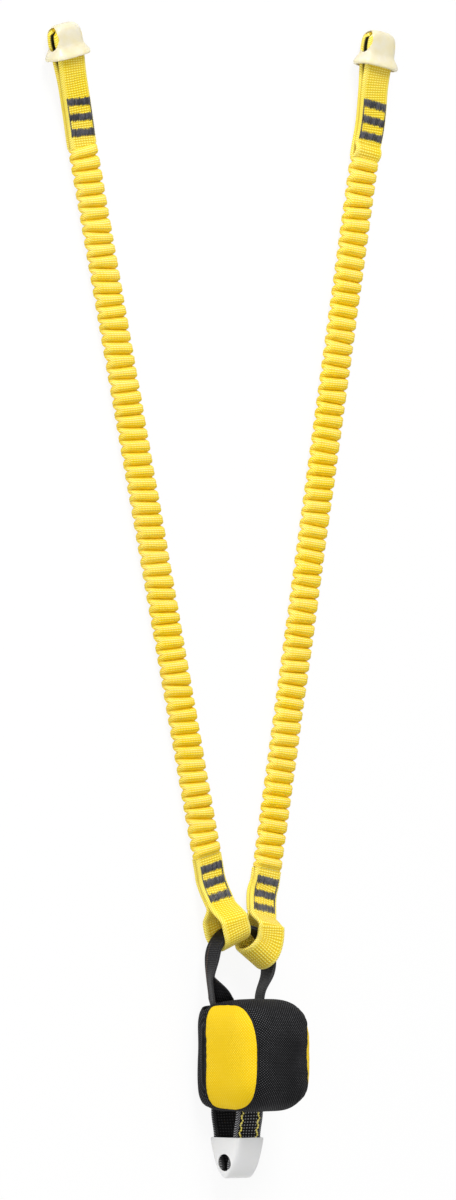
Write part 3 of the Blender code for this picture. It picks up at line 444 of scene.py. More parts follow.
@dataclass(frozen=True)
class Finishes:
    """All finishes of the lanyard, made once and shared."""

    # Yellow nylon webbing, woven tubular: bright, matt, with clear ribs across, a painted pale highlight on their
    # crests and painted shade in their hollows.
    yellow_webbing: bpy.types.Material
    # The same webbing gathered into pleats: the ribs stand out as painted pale highlight lines on each pleat's upper
    # slope, the folds are painted a warm golden shade, and light glows in them through the cloth.
    pleated_webbing: bpy.types.Material
    # Bar tack thread, bonded polyester: dark blue grey with small pale glints.
    dark_thread: bpy.types.Material
    # Upper caps, dipped vinyl: cream and milky, so that the webbing warms them from behind.
    cream_vinyl: bpy.types.Material
    # Harness cap, dipped vinyl: greyish white, clearer than the upper caps.
    grey_vinyl: bpy.types.Material
    # Hoop, black woven polyester: a fine dark satin weave, hardly lit.
    black_webbing: bpy.types.Material
    # Harness loop, the same yarn in a coarse weave: a painted pale highlight dotted along the ribs, on black.
    harness_webbing: bpy.types.Material
    # Pouch front, back and piping, woven stretch polyamide: black and matt, with fine pale specks.
    black_fabric: bpy.types.Material
    # Pouch sides, the same cloth dyed yellow: even and warm, with a faint slanting weave.
    yellow_fabric: bpy.types.Material
    # Edge stitching, yellow polyester: clean bright dashes.
    yellow_thread: bpy.types.Material
    # The hoop's fold stitching, brown polyester, sunk in the black webbing.
    brown_thread: bpy.types.Material
    # Tear webbing in the pouch, raw white polyester.
    white_webbing: bpy.types.Material
    # Elastic core, rubber yarn braided with off-white cotton.
    elastic: bpy.types.Material

    @staticmethod
    def make_all() -> "Finishes":
        """Make every finish."""
        return Finishes(
            yellow_webbing=WebbingFinish("yellow_nylon_woven_webbing", "#FCE82A", "#F4CC00", "#D6A200", "#FFF8B4",
                                         grid=0.8, crest_highlight_share=0.55).make(),
            pleated_webbing=WebbingFinish("yellow_nylon_woven_pleated", "#F9D608", "#FFDC00", "#F0BE00", "#FFEC96",
                                          rib_mm=1.6, grid=0.35, crest_highlight_share=0.7, sheen=0.05, shine=0.03, glow=0.3).make(),
            dark_thread=ThreadFinish("dark_polyester_bonded_thread", "#3A3A40", "#62626B", "#17171A").make(),
            cream_vinyl=SoftPlasticFinish("cream_vinyl_dipped", "#F8EBBE", "#FAF2D8", 0.82, 0.3).make(),
            grey_vinyl=SoftPlasticFinish("grey_vinyl_dipped", "#FFFFFE", "#FFFFFF", 0.84, 0.04).make(),
            black_webbing=WebbingFinish("black_polyester_woven_webbing", "#090909", "#040404", "#020202", "#747478",
                                        rib_mm=1.3, yarn_mm=1.5, relief_mm=0.25, grid=0.9, glow=0.0,
                                        half_width_mm=7.1, selvedge_mm=1.0, roughness=0.45, sheen=0.0, shine=0.09,
                                        crest_highlight_share=0.4, painted_inner_shade="#0A0A0B").make(),
            harness_webbing=WebbingFinish("black_polyester_woven_ribbed", "#161617", "#050505", "#020202", "#D8D8DC",
                                          rib_mm=2.1, yarn_mm=2.6, relief_mm=0.35, grid=1.0, glow=0.0, wear=0.06,
                                          sheen=0.03, shine=0.12, crest_highlight_share=0.65, painted_inner_shade="#0B0B0C").make(),
            black_fabric=StretchFabricFinish("black_polyamide_woven_stretch", "#0B0B0C", "#7C7C80").make(),
            yellow_fabric=StretchFabricFinish("yellow_polyamide_woven_stretch", "#ECC40A", "#FFEE78").make(),
            yellow_thread=ThreadFinish("yellow_polyester_bonded_thread", "#FBE85C", "#FFF6B0", "#E8C838").make(),
            brown_thread=ThreadFinish("brown_polyester_bonded_thread", "#4A3628", "#7A6150", "#1E1610").make(),
            white_webbing=WebbingFinish("white_polyester_woven_webbing", "#D8D6CE", "#A9A69B", "#A9A69B",
                                        "#F2F1EC").make(),
            elastic=WebbingFinish("off_white_braided_elastic", "#DAD5C6", "#A39E8F", "#A39E8F", "#F0ECE0", rib_mm=1.2,
                                  yarn_mm=1.6).make(),
        )


# ---------------------------------------------------------------------------
# Mesh building
# ---------------------------------------------------------------------------


@dataclass
class Shape:
    """Points, faces and what each point carries, before it becomes a mesh.

    Attributes:
        points: Places of the points, in metres.
        faces: Corners of each face.
        cloth: Lengths across and along the cloth at each point, in metres.
        depth: How deep in a fold each point lies, from 0 to 1, which the webbing paints as shade; below 0, how much
            painted highlight a ridge gets. Stitches use it for a random darker tone.
        painted_inner_shade: How much painted shade each point gets on the inner faces of an eye or loop, from 0 to 1,
            where the shape has such places.
    """

    points: list[Vector] = field(default_factory=list)
    faces: list[tuple[int, ...]] = field(default_factory=list)
    cloth: list[tuple[float, float]] = field(default_factory=list)
    depth: list[float] = field(default_factory=list)
    painted_inner_shade: list[float] = field(default_factory=list)

    def add_point(self, point: Vector, cloth: tuple[float, float] = (0.0, 0.0), depth: float = 0.0) -> int:
        """Add a point and return its number."""
        self.points.append(point.copy())
        self.cloth.append(cloth)
        self.depth.append(depth)
        return len(self.points) - 1

    def join(self, other: "Shape") -> None:
        """Add another shape's points and faces."""
        shift = len(self.points)
        self.points += other.points
        self.cloth += other.cloth
        self.depth += other.depth
        self.faces += [tuple(index + shift for index in face) for face in other.faces]

    def placed(self, turn: float = 0.0, shift: Vector = HOOP_CENTRE) -> "Shape":
        """Return the shape turned about Z and then moved, by itself to the hoop's place."""
        spin = Matrix.Rotation(turn, 3, "Z")
        return Shape([spin @ point + shift for point in self.points], self.faces, self.cloth, self.depth, self.painted_inner_shade)

    def build(self, name: str, finish: bpy.types.Material, crease: float = 50.0) -> bpy.types.Object:
        """Make the object.

        Args:
            name: Name of the piece.
            finish: Its material.
            crease: Angle in degrees above which an edge stays sharp.

        Returns:
            The new object, linked to the scene.
        """
        mesh = bpy.data.meshes.new(name)
        mesh.from_pydata([tuple(point) for point in self.points], [], self.faces)
        layer = mesh.uv_layers.new(name="cloth")
        flat: list[float] = []
        for loop in mesh.loops:
            flat.extend(self.cloth[loop.vertex_index])
        layer.data.foreach_set("uv", flat)
        if any(self.depth):
            mesh.attributes.new("fold_depth", "FLOAT", "POINT").data.foreach_set("value", self.depth)
        if self.painted_inner_shade:
            mesh.attributes.new("painted_inner_shade_mask", "FLOAT", "POINT").data.foreach_set("value", self.painted_inner_shade)
        work = bmesh.new()
        work.from_mesh(mesh)
        bmesh.ops.recalc_face_normals(work, faces=work.faces)
        work.to_mesh(mesh)
        work.free()
        mesh.materials.append(finish)
        mesh.shade_smooth()
        mesh.set_sharp_from_angle(angle=math.radians(crease))
        made = bpy.data.objects.new(name, mesh)
        bpy.context.scene.collection.objects.link(made)
        return made


def loft(rings: list[Ring], cloth: list[list[tuple[float, float]]], depth: Optional[list[list[float]]] = None,
         closed: bool = False, cap_ends: bool = True) -> Shape:
    """Join rings of equally many points into a tube.

    Args:
        rings: The rings, in order.
        cloth: Lengths across and along at each point of each ring.
        depth: Fold depth at each point of each ring.
        closed: Whether the last ring joins the first.
        cap_ends: Whether the open ends get a face.

    Returns:
        The tube.
    """
    shape = Shape()
    sides = len(rings[0])
    for row, ring in enumerate(rings):
        for side, point in enumerate(ring):
            shape.add_point(point, cloth[row][side], depth[row][side] if depth else 0.0)
    spans = len(rings) if closed else len(rings) - 1
    for row in range(spans):
        low, high = row * sides, ((row + 1) % len(rings)) * sides
        for side in range(sides):
            turn = (side + 1) % sides
            shape.faces.append((low + side, low + turn, high + turn, high + side))
    if cap_ends and not closed:
        last = len(shape.points) - sides
        shape.faces.append(tuple(range(sides))[::-1])
        shape.faces.append(tuple(range(last, last + sides)))
    return shape


def flat_cloth(rings: list[Ring], centres: Ring, across: Ring) -> list[list[tuple[float, float]]]:
    """Return each ring point's length across and along a strap.

    Args:
        rings: The strap's rings.
        centres: Middle of each ring.
        across: Direction across the strap at each ring.

    Returns:
        For each ring, the pair of lengths at each point.
    """
    result, run = [], 0.0
    for index, ring in enumerate(rings):
        if index:
            run += (centres[index] - centres[index - 1]).length
        result.append([((point - centres[index]).dot(across[index]), run) for point in ring])
    return result


@dataclass(frozen=True)
class Station:
    """One place on a strap's middle line: its centre, the way across, its width and extra thickness."""

    centre: Vector
    across: Vector
    width: float
    swell: float = 0.0


def strap_shape(stations: list[Station], thickness: float, crown: float = 0.0, edge_steps: int = 6,
                flat_steps: int = 10) -> Shape:
    """Return a webbing strap with round edges.

    Args:
        stations: Places along the strap.
        thickness: Thickness of the strap.
        crown: How much thicker the strap's middle is than its edges.
        edge_steps: Faces round each edge.
        flat_steps: Faces across each side.

    Returns:
        The closed strap.
    """
    rings, centres, acrosses = [], [], []
    for index, station in enumerate(stations):
        half = 0.5 * (thickness + station.swell)
        before = stations[max(index - 1, 0)].centre
        after = stations[min(index + 1, len(stations) - 1)].centre
        along = (after - before).normalized()
        normal = station.across.cross(along).normalized()
        across = along.cross(normal).normalized()
        reach = 0.5 * station.width - half
        ring = []
        for side in (1.0, -1.0):
            for step in range(flat_steps):
                share = -1.0 + 2.0 * step / flat_steps
                lateral = -side * share * reach
                rise = side * (half + 0.5 * crown * (1.0 - share * share))
                ring.append(station.centre + across * lateral + normal * rise)
            for step in range(edge_steps):
                angle = math.pi * step / edge_steps
                lateral = -side * (reach + half * math.sin(angle))
                ring.append(station.centre + across * lateral + normal * (side * half * math.cos(angle)))
        rings.append(ring)
        centres.append(station.centre)
        acrosses.append(across)
    return loft(rings, flat_cloth(rings, centres, acrosses))


def round_box_ring(centre: Vector, half_width: float, half_depth: float, power: float, sides: int = 72) -> Ring:
    """Return a soft oblong ring in the plane across Y.

    Args:
        centre: Middle of the ring.
        half_width: Half its size along X.
        half_depth: Half its size along Z.
        power: 2 is an ellipse, and more is squarer.
        sides: Number of points.

    Returns:
        The ring's points.
    """
    ring = []
    for side in range(sides):
        angle = math.tau * (side + 0.5) / sides
        cosine, sine = math.cos(angle), math.sin(angle)
        reach = (abs(cosine) ** power + abs(sine) ** power) ** (-1.0 / power)
        ring.append(centre + Vector((half_width * reach * cosine, 0.0, half_depth * reach * sine)))
    return ring


def cup_shape(outer: list[Ring], inner: list[Ring]) -> Shape:
    """Return a cup between outer and inner rings, open at its first ring."""
    blank = [[(0.0, 0.0)] * len(outer[0])]
    shape = loft(outer, blank * len(outer), cap_ends=False)
    sides, shift = len(outer[0]), len(shape.points)
    shape.join(loft(inner, blank * len(inner), cap_ends=False))
    for side in range(sides):
        turn = (side + 1) % sides
        shape.faces.append((side, turn, shift + turn, shift + side))
    last = len(shape.points) - sides
    shape.faces.append(tuple(range(shift - sides, shift)))
    shape.faces.append(tuple(range(last, last + sides)))
    return shape


def cut_side_eyes(cap: bpy.types.Object, middle: Vector, half_length: float, half_height: float, reach: float,
                  turn: float = 0.0) -> None:
    """Cut an oval eye through both sides of a cap.

    Args:
        cap: The cap, whose mesh is replaced.
        middle: Centre of the eyes.
        half_length: Half the eye along the cap.
        half_height: Half the eye's height.
        reach: How far the cutter runs to each side.
        turn: Turn of the cap about Z.
    """
    rings = []
    for side in (-reach, reach):
        ring = []
        for step in range(48):
            angle = math.tau * step / 48
            ring.append(Vector((side, half_length * math.cos(angle), half_height * math.sin(angle))))
        rings.append(ring)
    blank = [[(0.0, 0.0)] * 48] * 2
    cutter = loft(rings, blank).placed(turn, middle).build("eye_cutter", cap.data.materials[0])
    step = cap.modifiers.new("eye", "BOOLEAN")
    step.operation, step.solver, step.object = "DIFFERENCE", "EXACT", cutter
    bpy.context.view_layer.update()
    graph = bpy.context.evaluated_depsgraph_get()
    finished = bpy.data.meshes.new_from_object(cap.evaluated_get(graph))
    cap.modifiers.clear()
    cap.data = finished
    finished.shade_smooth()
    finished.set_sharp_from_angle(angle=math.radians(45.0))
    bpy.data.objects.remove(cutter, do_unlink=True)


def stitch_shape(start: Vector, end: Vector, up: Vector, width: float, height: float) -> Shape:
    """Return one stitch of thread, a small closed bead between two needle holes."""
    along = (end - start).normalized()
    across = along.cross(up).normalized()
    rings = []
    for share, size in ((0.0, 0.45), (0.18, 0.9), (0.5, 1.0), (0.82, 0.9), (1.0, 0.45)):
        middle = start.lerp(end, share)
        ring = []
        for side in range(6):
            angle = math.tau * side / 6
            lateral = across * (0.5 * width * size * math.cos(angle))
            ring.append(middle + lateral + up * (height * size * (0.5 + 0.5 * math.sin(angle)) - 0.15 * height))
        rings.append(ring)
    return loft(rings, [[(0.0, 0.0)] * 6] * len(rings))


def line_of_stitches(points: Ring, up: Vector, width: float, height: float, gap: float = 0.12) -> Shape:
    """Return a row of stitches from point to point."""
    shape = Shape()
    for start, end in zip(points, points[1:]):
        shape.join(stitch_shape(start.lerp(end, gap), end.lerp(start, gap), up, width, height))
    return shape


# ---------------------------------------------------------------------------
# Arms
# ---------------------------------------------------------------------------


@dataclass
class Arm:
    """One elastic arm: pleated sleeve, its core, the two sewn loops, their tacks and the cap.

    Lengths are in metres. Along runs from the hoop to the arm's tip. The two arms differ in these:

    Attributes:
        side: Which arm it is.
        turn: Its turn about the hoop's centre.
        offset: Sideways place of the sleeve in the turned frame.
        start: Where the sleeve begins.
        cap_shift: How far the tip leans over to its cap.
        fold: Where the lower loop folds round the hoop, before the turn.
        fold_turn: Turn of that fold against the arm.
        fold_straight: How far the lower loop stays open past the fold, to clear the hoop as the arm swings.
        pleat_lean: Slant of the pleats across the sleeve.
        rib_skew: Rise of the upper loop's ribs for each metre across.
        seed: Seed of the small differences between pleats and between stitches.
        upper_length: From the sleeve to the tip.
        cap_length: Length of the cap.
        upper_tack_start: From the sleeve to the middle of the nearest upper bar.
        first_pleat: Height of the pleat in the upper loop's front layer, next to the sleeve.
    """

    side: Side
    turn: float
    offset: float
    start: float
    cap_shift: float
    fold: Vector
    fold_turn: float
    fold_straight: float
    pleat_lean: float
    rib_skew: float
    seed: int
    upper_length: float
    cap_length: float
    upper_tack_start: float
    first_pleat: float
    webbing_width: float = 0.024
    pleat_count: int = 58
    pleat_pitch: float = 0.00876
    sleeve_level: float = 0.0045
    ridge_height: float = 0.0037
    valley_height: float = 0.0012
    back_fold_height: float = 0.0033
    end_height: float = 0.003
    crown: float = 0.0006
    section_powers: tuple[float, float] = (0.6, 0.62)
    bore_power: float = 0.55
    side_tuck: float = 0.0034
    gather_spread: float = 0.0005
    droop: float = 0.15
    bore_width: float = 0.0175
    bore_height: float = 0.002
    upper_eye_half: float = 0.0027
    eye_fill: float = 0.0015
    upper_eye_wide: float = 0.0145
    upper_eye_open: float = 0.0445
    tip_round: float = 0.0110
    tip_corner: float = 0.0070
    eye_bulge: float = 0.0006
    cap_wall: float = 0.0006
    skirt_flare: float = 0.0035
    skirt_spread: float = 1.25
    skirt_length: float = 0.0100
    lip: float = 0.0019
    lip_round: float = 0.0009
    cap_eye: float = 0.016
    fold_radius: float = 0.0086
    hoop_height: float = 0.016
    fold_roll: float = math.radians(3.0)
    upper_tack_pitch: float = 0.011
    lower_tack_start: float = 0.0085
    lower_tack_pitch: float = 0.010
    tack_bar: float = 0.0057
    tack_bars: int = 3
    bar_stitches: int = 14
    strong_thread: float = 0.0013
    weak_thread: float = 0.0007

    def __post_init__(self) -> None:
        """Work out the lengths that follow from the others."""
        self.sleeve_length = self.pleat_count * self.pleat_pitch
        self.base = self.start + self.sleeve_length
        self.layer_half = 0.5 * (WEBBING_THICKNESS + LAYER_GAP)
        self.cap_deep = self.upper_eye_half + WEBBING_THICKNESS + GAP + self.cap_wall
        self.cap_level = self.cap_deep + self.skirt_flare + GAP
        self.skirt_start = self.upper_length - self.cap_length
        self.fold_at = Matrix.Rotation(-self.turn, 2) @ self.fold
        self.chance = random.Random(self.seed)

    def name(self, piece: str) -> str:
        """Return the name of this arm's piece."""
        return f"{self.side.value}_{piece}"

    def place(self, shape: Shape) -> Shape:
        """Return a shape of the arm's own frame in the row's frame."""
        return shape.placed(self.turn)

    def point(self, along: float, aside: float = 0.0) -> Vector:
        """Return a point of the arm's middle plane in the row's frame."""
        local = Vector((self.offset + aside, along, self.sleeve_level))
        return Matrix.Rotation(self.turn, 3, "Z") @ local + HOOP_CENTRE

    # Sleeve ---------------------------------------------------------------

    def sleeve_shape(self) -> Shape:
        """Return the pleated tube, a flat tube whose front and back folds lie half a pleat apart."""
        shares = (0.0, 0.025, 0.07, 0.14, 0.23, 0.34, 0.43, 0.475, 0.5, 0.525, 0.57, 0.66, 0.77, 0.86, 0.93, 0.975)
        sides = 40
        places = [pleat + share for pleat in range(self.pleat_count) for share in shares]
        places.append(float(self.pleat_count))
        # Each pleat differs a little: its place, its lean in radians and its height.
        ranges = ((-0.05, 0.05), (-0.07, 0.07), (-0.12, 0.04))
        jitter = [[self.chance.uniform(*limits) for limits in ranges] for _ in range(self.pleat_count + 2)]
        rings, cloth, depth = [], [], []
        run, previous = 0.0, None
        for place in places:
            pleat = int(place)
            local = place - pleat
            ease = smooth(local)
            shift, lean, size = (mix(jitter[pleat][k], jitter[pleat + 1][k], ease) for k in range(3))
            near_end = min(place, self.pleat_count - place)
            live = smooth(near_end / 0.35)
            skew = math.tan(self.pleat_lean + lean) * smooth(near_end / 3.0)
            # The pleats hang a little towards the hoop: a long upper slope over a steep under side.
            lean_back = local + self.droop * math.sin(math.tau * local)
            swell = abs(math.sin(math.pi * lean_back))
            back = abs(math.cos(math.pi * local)) ** 0.65
            # Painted shade is heavier on each pleat's under side, and a painted highlight lies along its upper slope,
            # as the key light comes from beyond the arm tips.
            under = mix(1.0, 0.35, smooth((local - 0.05) / 0.5))
            painted_crest_highlight = math.exp(-((local - 0.66) / 0.17) ** 2) * (0.70 - 2.5 * size)
            along = self.start + (place + shift * live) * self.pleat_pitch
            ridge = self.ridge_height * (1.0 + size)
            low = mix(self.end_height, self.valley_height + self.back_fold_height * back, live)
            top = mix(self.end_height, self.valley_height + ridge * swell, live)
            if previous is not None:
                run += math.hypot(along - previous[0], top - previous[1])
            previous = (along, top)
            ring, lengths, deeps = [], [], []
            for side in range(sides):
                angle = math.tau * (side + 0.5) / sides
                lateral = signed_power(math.cos(angle), self.section_powers[0])
                rise = signed_power(math.sin(angle), self.section_powers[1])
                # The valleys between the pleats are wide in the middle and pinched shut at the sides.
                front = swell ** mix(1.5, 0.8, lateral * lateral)
                high = mix(self.end_height, self.valley_height + ridge * front, live)
                level = 0.5 + 0.5 * rise
                tuck = self.side_tuck * live * mix(1.0 - back, 1.0 - front, level)
                aside = lateral * (0.5 * self.webbing_width + self.gather_spread * live - tuck)
                height = self.sleeve_level + (high * rise if rise >= 0.0 else low * rise)
                bow = self.crown * live * (1.0 - lateral * lateral) * front if rise > 0.0 else 0.0
                ring.append(Vector((self.offset + aside, along + aside * skew, height + bow)))
                lengths.append((aside, run))
                # Fold depth for the material: painted shade in the valleys, less towards the sides, less the painted
                # highlight on the ridges' upper slopes.
                valley = under * (1.0 - front) ** 0.9 if rise > 0.0 else (1.0 - back) ** 1.5
                proud = painted_crest_highlight * smooth(2.0 * rise) * (1.0 - 0.4 * abs(lateral))
                deeps.append(live * (valley * (1.0 - 0.6 * lateral * lateral) - proud))
            rings.append(ring)
            cloth.append(lengths)
            depth.append(deeps)
        tube = loft(rings, cloth, depth, cap_ends=False)
        bores = []
        for along in (self.start, self.start + self.sleeve_length):
            ring = []
            for side in range(sides):
                angle = math.tau * (side + 0.5) / sides
                lateral = signed_power(math.cos(angle), self.bore_power)
                rise = signed_power(math.sin(angle), self.bore_power)
                ring.append(Vector((self.offset + 0.5 * self.bore_width * lateral, along,
                                    self.sleeve_level + 0.5 * self.bore_height * rise)))
            bores.append(ring)
        shift = len(tube.points)
        tube.join(loft(bores, [[(0.0, 0.0)] * sides] * 2, cap_ends=False))
        last_outer, last_inner = shift - sides, shift + sides
        for side in range(sides):
            turn = (side + 1) % sides
            tube.faces.append((side, turn, shift + turn, shift + side))
            tube.faces.append((last_outer + side, last_outer + turn, last_inner + turn, last_inner + side))
        return tube

    def core_shape(self) -> Shape:
        """Return the elastic strip in the sleeve's bore, with a shallow rib every few millimetres."""
        steps = 120
        rings, cloth = [], []
        for step in range(steps + 1):
            along = self.start + self.sleeve_length * step / steps
            swell = 0.00008 * math.cos(math.pi * step)
            centre = Vector((self.offset, along, self.sleeve_level))
            ring = round_box_ring(centre, 0.5 * self.bore_width - 2.0 * GAP,
                                  0.5 * self.bore_height - GAP - 0.0001 + swell, 5.0, 24)
            rings.append(ring)
            cloth.append([(point.x - self.offset, along) for point in ring])
        return loft(rings, cloth)

    # Upper end ------------------------------------------------------------

    def upper_level(self, along: float) -> float:
        """Return the middle height of the upper end at a distance from the pleats."""
        return mix(self.sleeve_level, self.cap_level, smooth(along / self.skirt_start))

    def upper_half(self, along: float) -> float:
        """Return half the spread of the two layers of the upper end."""
        wide = self.upper_eye_half + 0.5 * WEBBING_THICKNESS
        opens = self.upper_length - self.upper_eye_open
        return mix(self.layer_half, wide, smooth((along - opens) / (self.upper_eye_open - self.upper_eye_wide)))

    def upper_side(self, along: float) -> float:
        """Return the sideways place of the upper end, which leans over to its cap."""
        return self.offset + self.cap_shift * smooth((along - self.upper_tack_start)
                                                     / (self.skirt_start - self.upper_tack_start))

    def cap_half_width(self, along: float) -> float:
        """Return half the cap's width at a distance from the pleats: its corners are well rounded."""
        share = min(1.0, max(0.0, (along - self.upper_length + self.tip_round) / self.tip_round))
        return (0.5 * self.webbing_width + GAP + self.cap_wall
                - self.tip_corner * (1.0 - math.sqrt(max(0.0, 1.0 - share * share))))

    def tip_width(self, along: float) -> float:
        """Return the webbing's width at a distance from the pleats: in the cap its corners are gathered."""
        room = self.cap_half_width(min(along, self.upper_length)) - self.cap_wall - GAP
        middle = self.upper_length - 0.0017 - 0.5 * self.cap_eye
        bulge = self.eye_bulge * smooth(1.6 - 1.6 * abs(along - middle) / (0.5 * self.cap_eye))
        return 2.0 * (min(0.5 * self.webbing_width, room) + bulge)

    def upper_loop_shape(self) -> Shape:
        """Return the strap that runs up, round the connector eye and back down."""
        bend = self.upper_eye_half + 0.5 * WEBBING_THICKNESS
        turn_at = self.upper_length - self.cap_wall - GAP - bend - 0.5 * WEBBING_THICKNESS
        steps = 130
        lower, upper, arc = [], [], []
        for step in range(steps + 1):
            along = mix(-0.0004, turn_at, step / steps)
            level, half, aside = self.upper_level(along), self.upper_half(along), self.upper_side(along)
            # The front layer already rises in a first pleat between the tacks and the sleeve.
            pleat = self.first_pleat * abs(math.sin(math.pi * min(1.0, max(0.0, along / self.pleat_pitch)))) ** 0.8
            width = self.tip_width(along)
            fill = self.eye_fill * (half - self.layer_half) / (bend - self.layer_half)
            half -= 0.5 * fill
            lower.append(Station(Vector((aside, self.base + along, level - half)), ACROSS, width, fill))
            upper.append(Station(Vector((aside, self.base + along, level + half + pleat)), ACROSS, width, fill))
        for step in range(1, 24):
            angle = math.pi * step / 24 - 0.5 * math.pi
            middle = Vector((self.offset + self.cap_shift, self.base + turn_at, self.cap_level))
            way = Vector((0.0, math.cos(angle), math.sin(angle))) * (bend - 0.5 * self.eye_fill)
            width = self.tip_width(turn_at + math.cos(angle) * (bend + 0.5 * WEBBING_THICKNESS))
            arc.append(Station(middle + way, ACROSS, width, self.eye_fill))
        shape = strap_shape(lower + arc + upper[::-1], WEBBING_THICKNESS)
        shape.cloth = [(aside, along + aside * self.rib_skew) for aside, along in shape.cloth]
        # Painted shade on the inner faces of the connector eye, where shade falls between the layers.
        inner_shade_from = self.base + self.upper_length - self.upper_eye_open - 0.006
        for point in shape.points:
            along = point.y - self.base
            held = min(along, turn_at)
            inside = abs(point.z - self.upper_level(held)) - self.upper_half(held) + 0.5 * self.eye_fill
            tip = math.hypot(max(0.0, along - turn_at), point.z - self.cap_level) - bend + 0.5 * self.eye_fill
            depth = inside if along < turn_at else tip
            shape.painted_inner_shade.append(smooth((-depth - 0.0009) / 0.0010) if point.y > inner_shade_from else 0.0)
        return shape

    def tack_shape(self, width: float, first: float, pitch: float, face: Callable[[float], tuple[float, float]],
                   strong: float, skew: float = 0.0) -> Shape:
        """Return three bars of dense stitches and the thread that runs down both sides.

        Args:
            width: Width of the bars.
            first: Middle of the first bar, along the arm.
            pitch: Distance between the bars.
            face: Gives the face's sideways place and height, by distance past the first bar.
            strong: 1 where the right side has the thick side thread, and -1 where the left has.
            skew: Rise of the bars for each metre across.

        Returns:
            The stitches.
        """
        shape = Shape()

        def on_face(past: float, aside: float) -> Vector:
            middle, height = face(past)
            return Vector((middle + aside, first + past + skew * aside, height))

        spacing = width / self.bar_stitches
        for bar in range(self.tack_bars):
            for stitch in range(self.bar_stitches):
                aside = spacing * (stitch + 0.5) - 0.5 * width
                low = bar * pitch - 0.5 * self.tack_bar - self.chance.uniform(-0.0004, 0.0005)
                high = bar * pitch + 0.5 * self.tack_bar + self.chance.uniform(-0.0004, 0.0005)
                bead = stitch_shape(on_face(low, aside - 0.25 * spacing), on_face(high, aside + 0.25 * spacing), UP,
                                    1.02 * spacing, 0.0010)
                bead.depth = [self.chance.choice((0.0, 0.25, 0.75))] * len(bead.points)
                shape.join(bead)
        steps = 16
        low, high = -0.5 * self.tack_bar, (self.tack_bars - 1.0) * pitch + 0.5 * self.tack_bar
        for side, thick in ((strong, self.strong_thread), (-strong, self.weak_thread)):
            aside = side * (0.5 * width - 0.3 * thick)
            line = [on_face(mix(low, high, step / steps), aside + 0.0001 * (-1) ** step) for step in range(steps + 1)]
            shape.join(line_of_stitches(line, UP, thick, 0.0007, 0.02))
        return shape

    def upper_tack_shape(self) -> Shape:
        """Return the bar tacks on the front layer of the connector loop."""
        lift = self.layer_half + 0.5 * WEBBING_THICKNESS

        def face(past: float) -> tuple[float, float]:
            along = self.upper_tack_start + past
            return self.upper_side(along), self.upper_level(along) + lift

        return self.tack_shape(0.0212, self.base + self.upper_tack_start, self.upper_tack_pitch, face, -1.0,
                               self.rib_skew)

    def cap_object(self, finish: bpy.types.Material) -> bpy.types.Object:
        """Return the cap: a domed cup with a bell skirt, and an eye in each side."""
        aside, level = self.offset + self.cap_shift, self.cap_level
        wide = 0.5 * self.webbing_width + GAP + self.cap_wall
        deep, lip = self.cap_deep, self.lip
        profile = [(0.0, self.skirt_flare - 0.5 * lip), (0.0001, self.skirt_flare - 0.28 * lip),
                   (0.0003, self.skirt_flare - 0.12 * lip), (0.0007, self.skirt_flare - 0.02 * lip),
                   (0.0010, self.skirt_flare)]
        for step in range(1, 19):
            share = step / 18
            profile.append((mix(0.0012, self.skirt_length, share), self.skirt_flare * (1.0 - smooth(share)) ** 1.1))
        straight = self.upper_length - 1.05 * deep - self.skirt_start
        for step in range(1, 5):
            profile.append((mix(self.skirt_length, straight, step / 4), 0.0))
        outer, inner = [], []
        for past, flare in profile:
            centre = Vector((aside, self.base + self.skirt_start + past, level))
            wall = mix(lip, self.cap_wall, smooth(past / (0.5 * self.skirt_length)))
            if past < self.lip_round:
                wall = mix(0.5 * lip, lip, smooth(past / self.lip_round))
            half_width = self.cap_half_width(self.skirt_start + past) + flare * self.skirt_spread
            power = mix(3.0, 5.0, smooth(past / self.skirt_length))
            outer.append(round_box_ring(centre, half_width, deep + flare, power))
            inner.append(round_box_ring(centre, half_width - wall, deep + flare - wall, power))
        dome = 14
        top = self.upper_length - self.skirt_start
        for step in range(1, dome + 1):
            angle = 0.5 * math.pi * step / dome
            reach, close = math.sin(angle), math.cos(angle)
            shrink = 1.0 - close
            along = straight + (top - straight) * reach
            outer.append(round_box_ring(Vector((aside, self.base + self.skirt_start + along, level)),
                                        self.cap_half_width(self.skirt_start + along),
                                        deep * mix(0.26, 1.0, close ** 0.75), mix(5.0, 2.8, shrink)))
            roof = straight + (top - straight - self.cap_wall) * reach
            inner.append(round_box_ring(Vector((aside, self.base + self.skirt_start + roof, level)),
                                        self.cap_half_width(self.skirt_start + roof) - self.cap_wall,
                                        (deep - self.cap_wall) * mix(0.28, 1.0, close ** 0.75),
                                        mix(5.0, 3.0, shrink)))
        cap = self.place(cup_shape(outer, inner)).build(self.name("cap"), finish, 60.0)
        eye_along = self.upper_length - self.cap_wall - 0.5 * self.cap_eye - 0.1 * (deep - self.cap_wall)
        eye = Matrix.Rotation(self.turn, 3, "Z") @ Vector((aside, self.base + eye_along, level)) + HOOP_CENTRE
        cut_side_eyes(cap, eye, 0.5 * self.cap_eye, 0.9 * deep, 2.0 * wide, self.turn)
        return cap

    # Lower end ------------------------------------------------------------

    def lower_reach(self) -> float:
        """Return the distance from the fold to the pleats."""
        return self.start - self.fold_at.y

    def lower_tack_end(self) -> float:
        """Return where the last bar ends, as a distance past the fold."""
        return self.lower_reach() - self.lower_tack_start - 2.0 * self.lower_tack_pitch - self.tack_bar

